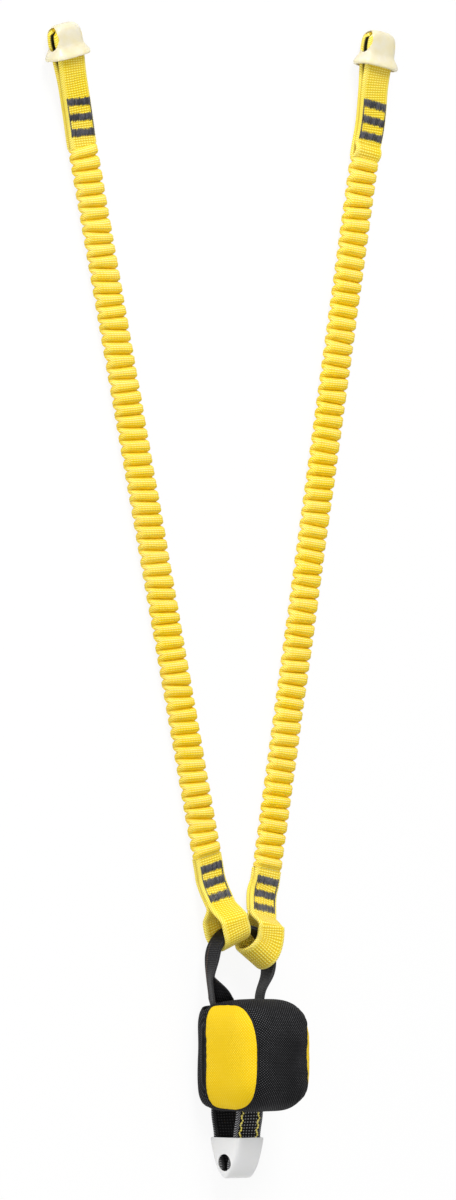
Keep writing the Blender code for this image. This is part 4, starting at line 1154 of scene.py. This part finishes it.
    def lower_middle(self, distance: float) -> Vector:
        """Return the lower loop's middle line, by distance past the fold."""
        tack_end = self.lower_tack_end()
        level_end = tack_end + 2.1 * self.lower_tack_pitch
        lean_end = self.lower_reach() - 0.8 * self.lower_tack_start
        share = min(1.0, max(0.0, distance / tack_end))
        lean = -math.tan(self.fold_turn) * tack_end * share * (1.0 - share) ** 2
        past = distance - self.fold_straight
        aside = mix(self.fold_at.x, self.offset, smooth(past / (lean_end - self.fold_straight))) + lean
        drop = smooth(past / (level_end - self.fold_straight))
        return Vector((aside, self.fold_at.y + distance, mix(self.hoop_height, self.sleeve_level, drop)))

    def lower_half(self, distance: float) -> float:
        """Return half the spread of the lower loop's layers, by distance past the fold."""
        wide = self.fold_radius + 0.5 * WEBBING_THICKNESS
        close = smooth((distance - self.fold_straight) / (self.lower_tack_end() - self.fold_straight))
        return mix(wide, self.layer_half, close)

    def lower_loop_shape(self) -> Shape:
        """Return the strap that leaves the pleats, folds round the hoop and comes back."""
        tack_end, reach = self.lower_tack_end(), self.lower_reach()
        front, rear, arc = [], [], []
        steps = 70
        for step in range(steps + 1):
            distance = (reach - GAP) * step / steps
            loosen = max(0.0, 1.0 - distance / tack_end) ** 1.6
            centre = self.lower_middle(distance)
            roll = self.fold_roll * loosen
            tipped = Vector((math.cos(roll), 0.0, math.sin(roll)))
            across = Matrix.Rotation(self.fold_turn * loosen, 3, "Z") @ tipped
            up = Vector((0.0, 0.0, self.lower_half(distance)))
            front.append(Station(centre + up, across, self.webbing_width))
            rear.append(Station(centre - up, across, self.webbing_width))
        radius = self.fold_radius + 0.5 * WEBBING_THICKNESS
        inward = Matrix.Rotation(self.fold_turn, 3, "Z") @ Vector((0.0, -1.0, 0.0))
        for step in range(1, 30):
            angle = 0.5 * math.pi - math.pi * step / 30
            rise = Vector((0.0, 0.0, radius * math.sin(angle)))
            centre = self.lower_middle(0.0) + inward * (radius * math.cos(angle)) + rise
            arc.append(Station(centre, front[0].across, self.webbing_width))
        return strap_shape(front[::-1] + arc + rear, WEBBING_THICKNESS)

    def lower_tack_shape(self) -> Shape:
        """Return the bar tacks on the front layer of the lower loop."""
        first = self.lower_reach() - self.lower_tack_start - 2.0 * self.lower_tack_pitch
        lift = 0.5 * WEBBING_THICKNESS

        def face(past: float) -> tuple[float, float]:
            centre = self.lower_middle(first + past)
            return centre.x, centre.z + self.lower_half(first + past) + lift

        return self.tack_shape(0.020, self.fold_at.y + first, self.lower_tack_pitch, face, 1.0)

    # Whole arm ------------------------------------------------------------

    def build(self, finishes: Finishes) -> None:
        """Build, place and dress every piece of the arm."""
        lower, upper, cover = self.name("arm"), self.name("arm_end"), self.name("cover")
        foot, tip = self.point(self.start), self.point(self.base)
        sleeve = self.place(self.sleeve_shape()).build(self.name("sleeve"), finishes.pleated_webbing, 70.0)
        core = self.place(self.core_shape()).build(self.name("core"), finishes.elastic)
        finish_piece(sleeve, lower, [self.name("pleated_sleeve")], (upper, foot, tip))
        finish_piece(core, lower, [self.name("elastic_core")], (upper, foot, tip))
        loop = self.place(self.lower_loop_shape()).build(self.name("hoop_loop"), finishes.yellow_webbing)
        finish_piece(loop, lower, [self.name("lower_loop")])
        tacks = self.place(self.lower_tack_shape()).build(self.name("hoop_loop_tacks"), finishes.dark_thread)
        finish_piece(tacks, lower, [self.name("lower_bar_tacks")])
        loop = self.place(self.upper_loop_shape()).build(self.name("connector_loop"), finishes.yellow_webbing)
        finish_piece(loop, upper, [self.name("upper_loop")])
        tacks = self.place(self.upper_tack_shape()).build(self.name("connector_loop_tacks"), finishes.dark_thread)
        finish_piece(tacks, upper, [self.name("upper_bar_tacks")])
        finish_piece(self.cap_object(finishes.cream_vinyl), cover, [self.name("end_cap")])


def finish_piece(piece: bpy.types.Object, body: str, nodes: list[str],
                 onto: Optional[tuple[str, Vector, Vector]] = None) -> None:
    """Let a piece ride on its body in place of its CAD nodes, and report it. Cloth across a joint is left in place
    instead, on no body.

    Args:
        piece: The finished object, in place.
        body: Name of the body it moves with.
        nodes: The CAD nodes that it stands for.
        onto: For cloth across a joint, the second body and where a blend to it would start and end. These values are
            not used: when onto is given, the piece is only left in place.
    """
    if onto:
        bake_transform(piece)
    else:
        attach(piece, body)
    if nodes:
        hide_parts(*nodes)
    LOG.info("%s: %d points, %d faces", piece.name, len(piece.data.vertices), len(piece.data.polygons))


# ---------------------------------------------------------------------------
# Absorber
# ---------------------------------------------------------------------------


@dataclass
class Pouch:
    """The absorber's pouch: fabric panels sewn with piping round the folded tear webbing."""

    width: float = 0.062
    depth: float = 0.0702
    rest_flat: float = 0.0012
    length: float = 0.0788
    top: float = -0.028
    offset: float = -0.0037
    wall: float = 0.0014
    power: float = 4.0
    front_power: float = 3.2
    back_power: float = 7.0
    front_inset: float = 0.0038
    top_inset: float = 0.0037
    bottom_inset: float = 0.0021
    far_front_inset: float = 0.0013
    far_end_inset: float = 0.0046
    back_inset: float = 0.0192
    back_corner: float = 0.0040
    top_seam_power: float = 2.8
    bottom_seam_power: float = 3.1
    back_seam_power: float = 6.0
    wrinkle: float = 0.0006
    pucker: float = 0.0005
    piping_radius: float = 0.0008
    mouth_level: float = 0.016
    top_opening: float = math.radians(18.5)
    top_span: float = 0.90
    bottom_opening: float = math.radians(26.5)
    bottom_span: float = 0.70
    tear_width: float = 0.040
    tear_thickness: float = 0.0028
    tear_layers: int = 12
    tear_length: float = 0.044
    hoop_height: float = 0.016
    hoop_width: float = 0.0142
    anchor_bar: float = 0.0057

    @property
    def centre(self) -> Vector:
        """Return the middle of the pouch, seen from the hoop's centre."""
        return Vector((self.offset, self.top - 0.5 * self.length, 0.5 * self.depth - self.rest_flat))

    @property
    def bottom(self) -> float:
        """Return where the pouch ends towards the harness."""
        return self.top - self.length

    def outline(self, turn: float) -> float:
        """Return the distance from the middle to the skin, in the pouch's middle plane."""
        along, rise = math.cos(turn), math.sin(turn)
        power = self.front_power if rise > 0.0 else self.back_power
        size = abs(along / (0.5 * self.length)) ** power + abs(rise / (0.5 * self.depth)) ** power
        return size ** (-1.0 / power)

    def skin_point(self, turn: float, tilt: float) -> Vector:
        """Return a point of the skin: turn goes round the ends, tilt to the sides."""
        power = self.power
        side, round_ = math.sin(tilt), math.cos(tilt)
        reach = (abs(side) ** power + abs(round_) ** power) ** (-1.0 / power)
        along, rise = math.cos(turn), math.sin(turn)
        radius = self.outline(turn) * round_ * reach
        point = self.centre + Vector((0.5 * self.width * side * reach, radius * along, radius * rise))
        point.z = max(0.0, point.z)
        return point

    def seam_tilt(self, turn: float, side: Side) -> float:
        """Return the tilt of the seam round a side panel, a round-cornered oblong in side view.

        The cover is sewn a little askew, so that the right panel comes further round to the front.

        Args:
            turn: Place round the pouch's ends.
            side: The side panel.

        Returns:
            The tilt from the pouch's middle plane.
        """
        along, rise = math.cos(turn), math.sin(turn)
        near = side is Side.LEFT
        near_inset = self.top_inset if along > 0.0 else self.bottom_inset
        end = 0.5 * self.length - (near_inset if near else self.far_end_inset)
        if rise >= 0.0:
            level = 0.5 * self.depth - (self.front_inset if near else self.far_front_inset)
            power = self.bottom_seam_power if near and along <= 0.0 else self.top_seam_power
        else:
            flat = 0.5 * self.depth - self.back_inset
            corner = min(1.0, abs(flat / end * along / rise)) if rise else 1.0
            level, power = flat + self.back_corner * corner ** 2, self.back_seam_power
        radius = (abs(along / end) ** power + abs(rise / level) ** power) ** (-1.0 / power)
        share = min(0.985, radius / self.outline(turn))
        aside = (1.0 - share ** self.power) ** (1.0 / self.power)
        return math.atan2(aside, share)

    def seam_margin(self) -> float:
        """Return the tilt between a seam and the edge of the panel beside it."""
        return 0.4 * self.piping_radius / (0.5 * self.width)

    def mouth_turn(self) -> float:
        """Return how far the line between front and back panels lies behind the middle."""
        return math.atan2(self.centre.z - self.mouth_level, 0.5 * self.length)

    @staticmethod
    def mouth_lens(share: float, span: float) -> float:
        """Return how open a mouth is, from 1 at its middle to 0 at its ends."""
        return 0.0 if abs(share) >= span else math.sqrt(1.0 - (abs(share) / span) ** 4)

    def crumple(self, point: Vector, near_seam: float) -> Vector:
        """Return how far soft wrinkles move a point of the skin.

        Args:
            point: The place on the smooth skin.
            near_seam: 1 at a seam, and 0 away from it.

        Returns:
            The move, towards the middle or away from it.
        """
        away = (point - self.centre).normalized()
        slow = noise.noise(point * 55.0)
        pucker = noise.noise(Vector((point.x * 60.0, point.y * 260.0, point.z * 260.0)))
        return away * (self.wrinkle * slow + self.pucker * near_seam * pucker)

    def panel_shape(self, outer: list[list[Vector]], lengths: list[list[tuple[float, float]]]) -> Shape:
        """Return a closed panel of cloth from the grid of its outer face."""
        rows, columns = len(outer), len(outer[0])
        shape = Shape()
        for layer in (0, 1):
            for row in range(rows):
                for column in range(columns):
                    point = outer[row][column]
                    if layer:
                        point = point + (self.centre - point).normalized() * self.wall
                        if outer[row][column].z < 0.002:
                            point.z = max(point.z, self.wall)
                    shape.add_point(point, lengths[row][column])
        shift = rows * columns
        for row in range(rows - 1):
            for column in range(columns - 1):
                low = row * columns + column
                quad = (low, low + 1, low + columns + 1, low + columns)
                shape.faces.append(quad)
                shape.faces.append(tuple(index + shift for index in quad[::-1]))
        edge = list(range(columns))
        edge += [row * columns + columns - 1 for row in range(1, rows)]
        edge += [(rows - 1) * columns + column for column in range(columns - 2, -1, -1)]
        edge += [row * columns for row in range(rows - 2, 0, -1)]
        for index, low in enumerate(edge):
            after = edge[(index + 1) % len(edge)]
            shape.faces.append((low, low + shift, after + shift, after))
        return shape

    def wrap_shape(self, is_front: bool) -> Shape:
        """Return the front or back panel, from mouth to mouth and from seam to seam."""
        rows, columns = (84, 56) if is_front else (56, 48)
        edge = GAP / (0.5 * self.length)
        grid, lengths = [], []
        for row in range(rows + 1):
            line, pairs = [], []
            for column in range(columns + 1):
                share = mix(-1.0, 1.0, column / columns)
                share = signed_power(share, 0.85)
                top = self.top_opening * self.mouth_lens(share, self.top_span) + edge
                bottom = self.bottom_opening * self.mouth_lens(share, self.bottom_span) + edge
                if is_front:
                    start, end = -self.mouth_turn() + top, math.pi + self.mouth_turn() - bottom
                else:
                    start, end = math.pi + self.mouth_turn() + bottom, math.tau - self.mouth_turn() - top
                turn = mix(start, end, row / rows)
                seam = self.seam_tilt(turn, Side.RIGHT if share > 0.0 else Side.LEFT) - self.seam_margin()
                point = self.skin_point(turn, share * seam)
                near = smooth((abs(share) - 0.72) / 0.28)
                moved = point + self.crumple(point, near)
                moved.z = max(0.0, moved.z)
                if point.z < 0.0005:
                    moved.z = 0.0
                line.append(moved)
                pairs.append((point.x, turn * 0.5 * self.length))
            grid.append(line)
            lengths.append(pairs)
        return self.panel_shape(grid, lengths)

    def side_shape(self, side: Side) -> Shape:
        """Return a side panel, a round-cornered disc that swells outwards."""
        rings, sides = 16, 96
        shape = Shape()
        layers = []
        for layer in (0, 1):
            numbers = []
            for ring in range(rings):
                share = ring / rings
                row = []
                for step in range(sides):
                    turn = math.tau * (step + 0.5) / sides
                    seam = self.seam_tilt(turn, side) + self.seam_margin()
                    tilt = mix(seam, 0.5 * math.pi, share)
                    point = self.skin_point(turn, side.sign * tilt)
                    moved = point + self.crumple(point, (1.0 - share) ** 3)
                    if layer:
                        moved = moved + (self.centre - moved).normalized() * self.wall
                    row.append(shape.add_point(moved, (point.y, point.z)))
                numbers.append(row)
            tip = self.skin_point(0.0, side.sign * 0.5 * math.pi)
            tip = tip + self.crumple(tip, 0.0) - Vector((side.sign * self.wall * layer, 0.0, 0.0))
            hub = shape.add_point(tip, (tip.y, tip.z))
            for ring in range(rings - 1):
                for step in range(sides):
                    after = (step + 1) % sides
                    shape.faces.append((numbers[ring][step], numbers[ring][after], numbers[ring + 1][after],
                                        numbers[ring + 1][step]))
            for step in range(sides):
                shape.faces.append((numbers[-1][step], numbers[-1][(step + 1) % sides], hub))
            layers.append(numbers[0])
        for step in range(sides):
            after = (step + 1) % sides
            shape.faces.append((layers[0][step], layers[0][after], layers[1][after], layers[1][step]))
        return shape

    def piping_shape(self, side: Side) -> Shape:
        """Return the corded edge that closes the seam round a side panel."""
        count = 160
        path = []
        for step in range(count):
            turn = math.tau * (step + 0.5) / count
            point = self.skin_point(turn, side.sign * self.seam_tilt(turn, side))
            path.append(point + self.crumple(point, 1.0))
        rings, cloth = [], []
        for index, point in enumerate(path):
            along = (path[(index + 1) % count] - path[index - 1]).normalized()
            outward = (point - self.centre).normalized()
            across = along.cross(outward).normalized()
            outward = across.cross(along).normalized()
            ring = []
            for step in range(10):
                angle = math.tau * step / 10
                way = across * math.cos(angle) + outward * math.sin(angle)
                place = point - outward * 0.0002 + way * self.piping_radius
                place.z = max(0.0, place.z)
                ring.append(place)
            rings.append(ring)
            cloth.append([(0.001 * step, 0.0015 * index) for step in range(10)])
        return loft(rings, cloth, closed=True)

    def tear_shape(self) -> Shape:
        """Return the tear webbing, folded to and fro in layers."""
        pitch = self.tear_thickness + LAYER_GAP
        base = self.hoop_height + 0.5 * self.hoop_width + GAP + 0.5 * self.tear_thickness
        half = 0.5 * self.tear_length
        centres = []
        for layer in range(self.tear_layers):
            level = base + layer * pitch
            way = 1.0 if layer % 2 == 0 else -1.0
            for step in range(-4, 5):
                centres.append(Vector((self.centre.x, self.centre.y + way * half * step / 4, level)))
            if layer < self.tear_layers - 1:
                for step in range(1, 8):
                    angle = math.pi * step / 8 - 0.5 * math.pi
                    bulge = way * (half + 0.5 * pitch * math.cos(angle))
                    rise = 0.5 * pitch * (1.0 + math.sin(angle))
                    centres.append(Vector((self.centre.x, self.centre.y + bulge, level + rise)))
        return strap_shape([Station(centre, ACROSS, self.tear_width) for centre in centres],
                           self.tear_thickness, edge_steps=4, flat_steps=4)

    def anchor_tack_shape(self) -> Shape:
        """Return the bars of thread under the tear webbing, between the hoop's strands."""
        shape = Shape()
        height = self.hoop_height + 0.5 * self.hoop_width - 0.0007
        width, count = 0.020, 17
        for bar in (-1, 0, 1):
            for stitch in range(count):
                x = self.offset + width * ((stitch + 0.5) / count - 0.5)
                y = self.centre.y + 0.010 * bar
                ends = (Vector((x, y + way * 0.5 * self.anchor_bar, height)) for way in (-1.0, 1.0))
                shape.join(stitch_shape(*ends, UP, 0.0013, 0.0007))
        edge = [Vector((self.offset + 0.0098, self.centre.y - 0.0125 + 0.0025 * step, height)) for step in range(11)]
        shape.join(line_of_stitches(edge, UP, 0.0012, 0.0007, 0.02))
        return shape

    def build(self, finishes: Finishes) -> None:
        """Build, place and dress every piece of the pouch."""
        body = Body.ABSORBER.value
        for is_front, label in ((True, "front"), (False, "back")):
            panel = self.wrap_shape(is_front).placed().build(f"pouch_{label}_cloth", finishes.black_fabric)
            finish_piece(panel, body, [f"pouch_{label}_panel"])
        for side in Side:
            label = f"pouch_{side.value}"
            panel = self.side_shape(side).placed().build(f"{label}_cloth", finishes.yellow_fabric)
            finish_piece(panel, body, [f"{label}_panel"])
            cord = self.piping_shape(side).placed().build(f"{label}_edge", finishes.black_fabric)
            finish_piece(cord, body, [f"{label}_piping"])
        tear = self.tear_shape().placed().build("tear_webbing", finishes.white_webbing)
        finish_piece(tear, body, ["tear_webbing_pack"])
        tacks = self.anchor_tack_shape().placed().build("anchor_tacks", finishes.dark_thread)
        finish_piece(tacks, body, ["anchor_bar_tacks"])


@dataclass
class AnchorHoop:
    """The black hoop that both arms are threaded on: a strap folded lengthwise, on edge.

    Its two plies lie together round the arms, lean over on the way down, and open at the pouch.
    """

    pouch: Pouch
    radius: float = 0.0264
    sag: float = 0.0042
    sag_power: float = 1.6
    thickness: float = 0.0025
    left_mouth: float = -0.0187
    right_mouth: float = 0.0222
    right_rise: float = 0.0025
    tail: float = 0.030
    lean: float = math.radians(27.0)
    opening: float = math.radians(52.0)
    lean_from: float = 0.004
    right_lean_from: float = -0.003
    lean_to: float = -0.017
    opens_from: float = -0.0125
    opens_to: float = -0.030

    def centre_line(self) -> Ring:
        """Return the hoop's middle line, from the right tail to the left."""
        tail_at = self.pouch.top - self.tail
        centres = []
        for step in range(73):
            angle = math.pi * step / 72
            radius = self.radius - self.sag * math.sin(angle) ** self.sag_power
            centres.append(Vector((radius * math.cos(angle), radius * math.sin(angle), 0.0)))
        for side in (1.0, -1.0):
            strand = []
            for step in range(1, 49):
                share = step / 48
                mouth, from_, to = self.left_mouth, 0.0, self.pouch.top - 0.004
                if side > 0.0:
                    mouth, from_, to = self.right_mouth, -0.010, self.pouch.top - 0.001
                gate = smooth((share * tail_at - from_) / (to - from_))
                spread = mix(self.radius * side, self.pouch.offset + mouth, gate)
                if share * tail_at < self.pouch.top:
                    spread -= 0.35 * side * (self.pouch.top - share * tail_at)
                lift = self.right_rise * gate if side > 0.0 else 0.0
                strand.append(Vector((spread, tail_at * share, lift)))
            centres = strand[::-1] + centres if side > 0.0 else centres + strand
        return centres

    def ply_shape(self, inner: bool) -> Shape:
        """Return one ply of the folded strap.

        Args:
            inner: Whether it is the ply on the hoop's inside, which opens at the left of the mouth.

        Returns:
            The ply, along the whole hoop.
        """
        centres = self.centre_line()
        ply = 0.5 * self.thickness
        height, width = self.pouch.hoop_height, self.pouch.hoop_width
        fold = height - 0.5 * width
        stations = []
        for index, centre in enumerate(centres):
            before, after = centres[max(index - 1, 0)], centres[min(index + 1, len(centres) - 1)]
            outward = (after - before).normalized().cross(UP)
            left = centre.x < 0.0
            begin = self.lean_from if left else self.right_lean_from
            past = smooth((begin - centre.y) / (self.lean_from - self.lean_to)) if centre.y < 0.01 else 0.0
            angle = -self.lean * past * (1.0 if left else 0.75)
            reach = width
            if inner and centre.y < self.opens_from:
                share = min(1.0, (self.opens_from - centre.y) / (self.opens_from - self.opens_to))
                angle += (self.opening - angle) * share if left else 0.12 * share
                reach += 0.0018 * share if left else -0.0015 * share
            across = Vector((math.sin(angle), 0.0, math.cos(angle)))
            base = Vector((centre.x, centre.y, fold + centre.z)) + outward * (0.5 * ply * (-1.0 if inner else 1.0))
            stations.append(Station(base + across * (0.5 * reach), across, reach))
        return strap_shape(stations, ply, edge_steps=5, flat_steps=8)

    def stitch_line(self) -> Shape:
        """Return the row of stitches that holds the fold of the left strand."""
        centres = [centre for centre in self.centre_line() if centre.x < 0.0 and -0.029 < centre.y < 0.012]
        fold = self.pouch.hoop_height - 0.5 * self.pouch.hoop_width
        points = []
        for centre in centres:
            past = smooth((self.lean_from - centre.y) / (self.lean_from - self.lean_to))
            angle = -self.lean * past
            across = Vector((math.sin(angle), 0.0, math.cos(angle)))
            outward = Vector((-math.cos(angle), 0.0, math.sin(angle)))
            points.append(Vector((centre.x, centre.y, fold)) + across * 0.0032 + outward * (0.5 * self.thickness))
        return line_of_stitches(points, Vector((-0.9, 0.0, 0.3)).normalized(), 0.0006, 0.0004, 0.15)

    def build(self, finishes: Finishes) -> None:
        """Build, place and dress the hoop and its line of stitches."""
        shape = self.ply_shape(False)
        shape.join(self.ply_shape(True))
        hoop = shape.placed().build("anchor_hoop_strap", finishes.black_webbing)
        finish_piece(hoop, Body.ABSORBER.value, ["anchor_hoop"])
        line = self.stitch_line().placed().build("anchor_hoop_stitches", finishes.brown_thread)
        finish_piece(line, Body.ABSORBER.value, [])


@dataclass
class HarnessEnd:
    """The harness loop out of the pouch's lower end, its edge stitching and its cap."""

    pouch: Pouch
    width: float = 0.0245
    thickness: float = 0.0025
    level: float = 0.0165
    mouth_half: float = 0.0130
    rim_half: float = 0.0102
    end_half: float = 0.0032
    end_room: float = 0.0010
    reach: float = 0.0466
    cap_length: float = 0.0285
    cap_wall: float = 0.0008
    cap_rim_half: float = 0.0162
    cap_taper: float = 0.0011
    eye_length: float = 0.012
    eye_depth: float = 0.0130
    eye_from_end: float = 0.0110
    eye_rise: float = 0.0012
    stitch_inset: float = 0.0045

    @property
    def rim(self) -> float:
        """Return where the cap begins, as a distance from the pouch."""
        return self.reach - self.cap_length

    def half(self, reach: float) -> float:
        """Return half the spread of the strands, by distance from the mouth."""
        if reach < self.rim:
            return mix(self.mouth_half, self.rim_half, smooth(reach / self.rim))
        return mix(self.rim_half, self.end_half, smooth((reach - self.rim) / (0.80 * self.cap_length)))

    def cap_half(self, reach: float) -> float:
        """Return half the cap's depth: it stands off the strap at its rim and rounds to its end."""
        share = min(1.0, max(0.0, (reach - self.rim) / self.cap_length))
        return self.cap_rim_half * (0.42 * (1.0 - share) + 0.58 * math.sqrt(1.0 - share * share))

    def narrow(self, reach: float) -> float:
        """Return how much narrower each side of the cap is towards its rounded end."""
        share = min(1.0, max(0.0, (reach - self.rim) / self.cap_length))
        return 2.0 * self.cap_taper * (1.0 - math.sqrt(1.0 - max(0.0, (share - 0.6) / 0.4) ** 2))

    def tail(self) -> float:
        """Return how far the loop runs into the pouch, up to the folded tear webbing."""
        fold = 0.5 * (2.0 * self.pouch.tear_thickness + LAYER_GAP)
        return self.pouch.centre.y - 0.5 * self.pouch.tear_length - fold - GAP - self.pouch.bottom

    def loop_shape(self) -> Shape:
        """Return the strap that leaves the pouch, turns round and comes back."""
        offset, bottom = self.pouch.offset, self.pouch.bottom
        turn_at = self.reach - self.cap_wall - GAP - 0.5 * self.thickness - self.end_half - self.end_room
        upper, lower, arc = [], [], []
        for step in range(61):
            reach = mix(-self.tail(), turn_at, step / 60)
            half = self.half(reach)
            upper.append(Vector((offset, bottom - reach, self.level + half)))
            lower.append(Vector((offset, bottom - reach, self.level - half)))
        half = self.half(turn_at)
        for step in range(1, 28):
            angle = 0.5 * math.pi - math.pi * step / 28
            along = bottom - turn_at - self.end_half * math.cos(angle)
            arc.append(Vector((offset, along, self.level + half * math.sin(angle))))
        shape = strap_shape([Station(centre, ACROSS, self.width - 2.0 * self.narrow(bottom - centre.y + 0.0016))
                             for centre in upper + arc + lower[::-1]], self.thickness)
        # Painted shade on the inner faces between the strands, inside the loop.
        for point in shape.points:
            inside = self.half(bottom - point.y) - abs(point.z - self.level)
            shape.painted_inner_shade.append(0.85 * smooth((inside - 0.0002) / 0.0008))
        return shape

    def stitching_shape(self, side: Side) -> Shape:
        """Return a wavy line of dashes on the front strand, near one edge, seen dimly through the cap."""
        count = 20
        points = []
        for step in range(count + 1):
            reach = mix(-0.0015, self.rim + 0.5 * self.cap_length, step / count)
            wave = 0.0013 * math.sin(1.9 * step + side.sign)
            x = self.pouch.offset + side.sign * (0.5 * self.width - self.stitch_inset) + wave
            height = self.level + self.half(reach) + 0.5 * self.thickness
            points.append(Vector((x, self.pouch.bottom - reach, height)))
        return line_of_stitches(points, UP, 0.0015, 0.0009, 0.12)

    def cap_object(self, finish: bpy.types.Material) -> bpy.types.Object:
        """Return the cap: a tapered cup with an eye in each side."""
        wide = 0.5 * self.width + GAP + self.cap_wall
        outer, inner = [], []
        steps = 34
        for rings, wall, power in ((outer, 0.0, 6.5), (inner, self.cap_wall, 7.5)):
            length = self.cap_length - wall
            for step in range(steps + 1):
                share = math.sin(0.5 * math.pi * step / steps)
                reach = self.rim + length * share
                deep = max(0.0012, self.cap_half(self.rim + self.cap_length * share) - wall)
                slim = self.narrow(self.rim + self.cap_length * share)
                lip = 0.0004 if step == 0 and not wall else 0.0
                centre = Vector((self.pouch.offset, self.pouch.bottom - reach, self.level))
                rings.append(round_box_ring(centre, wide - wall - lip - slim, deep - lip,
                                            mix(power, 4.0, 0.5 * slim / self.cap_taper), 96))
        cap = cup_shape(outer, inner).placed().build("harness_loop_cap", finish, 60.0)
        eye = Vector((self.pouch.offset, self.pouch.bottom - self.reach + self.eye_from_end,
                      self.level + self.eye_rise)) + HOOP_CENTRE
        cut_side_eyes(cap, eye, 0.5 * self.eye_length, 0.5 * self.eye_depth, 2.0 * wide)
        return cap

    def build(self, finishes: Finishes) -> None:
        """Build, place and dress every piece of the harness end."""
        bottom, middle = self.pouch.bottom, Vector((self.pouch.offset, 0.0, self.level)) + HOOP_CENTRE
        start = Vector((middle.x, middle.y + bottom + 0.004, middle.z))
        end = Vector((middle.x, middle.y + bottom - 0.006, middle.z))
        loop = self.loop_shape().placed().build("harness_strap", finishes.harness_webbing)
        pieces = [(loop, "harness_loop", "black_webbing")]
        for side in Side:
            line = self.stitching_shape(side).placed()
            line = line.build(f"harness_{side.value}_dashes", finishes.yellow_thread)
            pieces.append((line, f"harness_{side.value}_stitching", "yellow_thread"))
        for piece, node, slot in pieces:
            finish_piece(piece, Body.ABSORBER.value, [node], (Body.HARNESS_END.value, start, end))
        finish_piece(self.cap_object(finishes.grey_vinyl), Body.HARNESS_COVER.value, ["harness_cap"])


# ---------------------------------------------------------------------------
# Studio
# ---------------------------------------------------------------------------


@dataclass
class Studio:
    """The camera, the pale floor and the plain light."""

    target: Vector = field(default_factory=lambda: Vector((0.01462, 0.0, 0.0)))
    view_turn: float = math.radians(42.0)
    distance: float = 14.0
    frame_height: float = 0.840
    floor_size: float = 6.0

    def make_camera(self) -> None:
        """Make the long-lens camera that looks down at the lanyard from its left side."""
        data = bpy.data.cameras.new("camera")
        data.sensor_fit = "VERTICAL"
        data.sensor_height = 36.0
        data.lens = 36.0 * self.distance / self.frame_height
        data.clip_end = 100.0
        camera = bpy.data.objects.new("camera", data)
        way = Vector((-math.sin(self.view_turn), 0.0, math.cos(self.view_turn)))
        right = Vector((math.cos(self.view_turn), 0.0, math.sin(self.view_turn)))
        frame = Matrix((right, Vector((0.0, 1.0, 0.0)), way)).transposed().to_4x4()
        frame.translation = self.target + way * self.distance
        camera.matrix_world = frame
        bpy.context.scene.collection.objects.link(camera)
        bpy.context.scene.camera = camera

    def make_floor(self) -> None:
        """Make the pale floor under the lanyard."""
        half = 0.5 * self.floor_size
        shape = Shape()
        for x, y in ((-half, -half), (half, -half), (half, half), (-half, half)):
            shape.add_point(Vector((x, y, -0.0001)))
        shape.faces.append((0, 1, 2, 3))
        floor = shape.build("floor", StudioFinish().make())
        if floor.data.polygons[0].normal.z < 0.0:
            floor.data.flip_normals()

    def make_light(self, name: str, place: Vector, size: float, watts: float) -> None:
        """Make a square area light that looks at the lanyard's middle."""
        data = bpy.data.lights.new(name, "AREA")
        data.shape, data.size, data.energy = "SQUARE", size, watts
        lamp = bpy.data.objects.new(name, data)
        lamp.matrix_world = Matrix.Translation(place) @ (-place).to_track_quat("-Z", "Y").to_matrix().to_4x4()
        bpy.context.scene.collection.objects.link(lamp)

    def make_world(self, strength: float) -> None:
        """Make the even light of the room, which the camera sees as white."""
        world = bpy.data.worlds.new("room")
        bpy.context.scene.world = world
        world.use_nodes = True
        tree = world.node_tree
        tree.nodes.clear()
        rays = add_node(tree, "LightPath")
        power = add_node(tree, "MapRange", {"To Min": strength, "To Max": 1.0},
                         {"Value": rays.outputs["Is Camera Ray"]})
        room = add_node(tree, "Background", {"Color": (1.0, 1.0, 1.0, 1.0)}, {"Strength": power})
        add_node(tree, "OutputWorld", links={0: room})

    def build(self) -> None:
        """Build the floor, the lights and the world."""
        self.make_floor()
        self.make_light("key_light", Vector((-1.2, 4.9, 4.0)), 2.4, 300.0)
        self.make_light("fill_light", Vector((-4.0, -0.5, 4.4)), 4.0, 115.0)
        self.make_world(0.48)
        bpy.context.scene.view_settings.view_transform = "Standard"


def main() -> None:
    """Build the camera, the lanyard's sub-assemblies in order, and the studio."""
    logging.basicConfig(level=logging.INFO, format="%(name)s: %(message)s")
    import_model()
    studio = Studio()
    studio.make_camera()
    finishes = Finishes.make_all()
    arms = (
        Arm(Side.LEFT, turn=math.radians(13.25), offset=-0.0045, start=0.0752, cap_shift=-0.0033,
            fold=Vector((-0.0122, 0.0197)), fold_turn=math.radians(8.75), fold_straight=0.0070,
            pleat_lean=math.radians(-10.7), rib_skew=-0.148, seed=11, upper_length=0.0873, cap_length=0.024,
            upper_tack_start=0.0092, first_pleat=0.0),
        Arm(Side.RIGHT, turn=math.radians(-10.5), offset=0.0231, start=0.0675, cap_shift=-0.0064,
            fold=Vector((0.0165, 0.0077)), fold_turn=math.radians(-24.5), fold_straight=0.0145,
            pleat_lean=math.radians(4.0), rib_skew=0.0, seed=29, upper_length=0.0895, cap_length=0.026,
            upper_tack_start=0.0153, first_pleat=0.0021),
    )
    for arm in arms:
        arm.build(finishes)
    pouch = Pouch()
    pouch.build(finishes)
    AnchorHoop(pouch).build(finishes)
    HarnessEnd(pouch).build(finishes)
    studio.build()
    LOG.info("lanyard built")


if __name__ == "__main__":
    main()
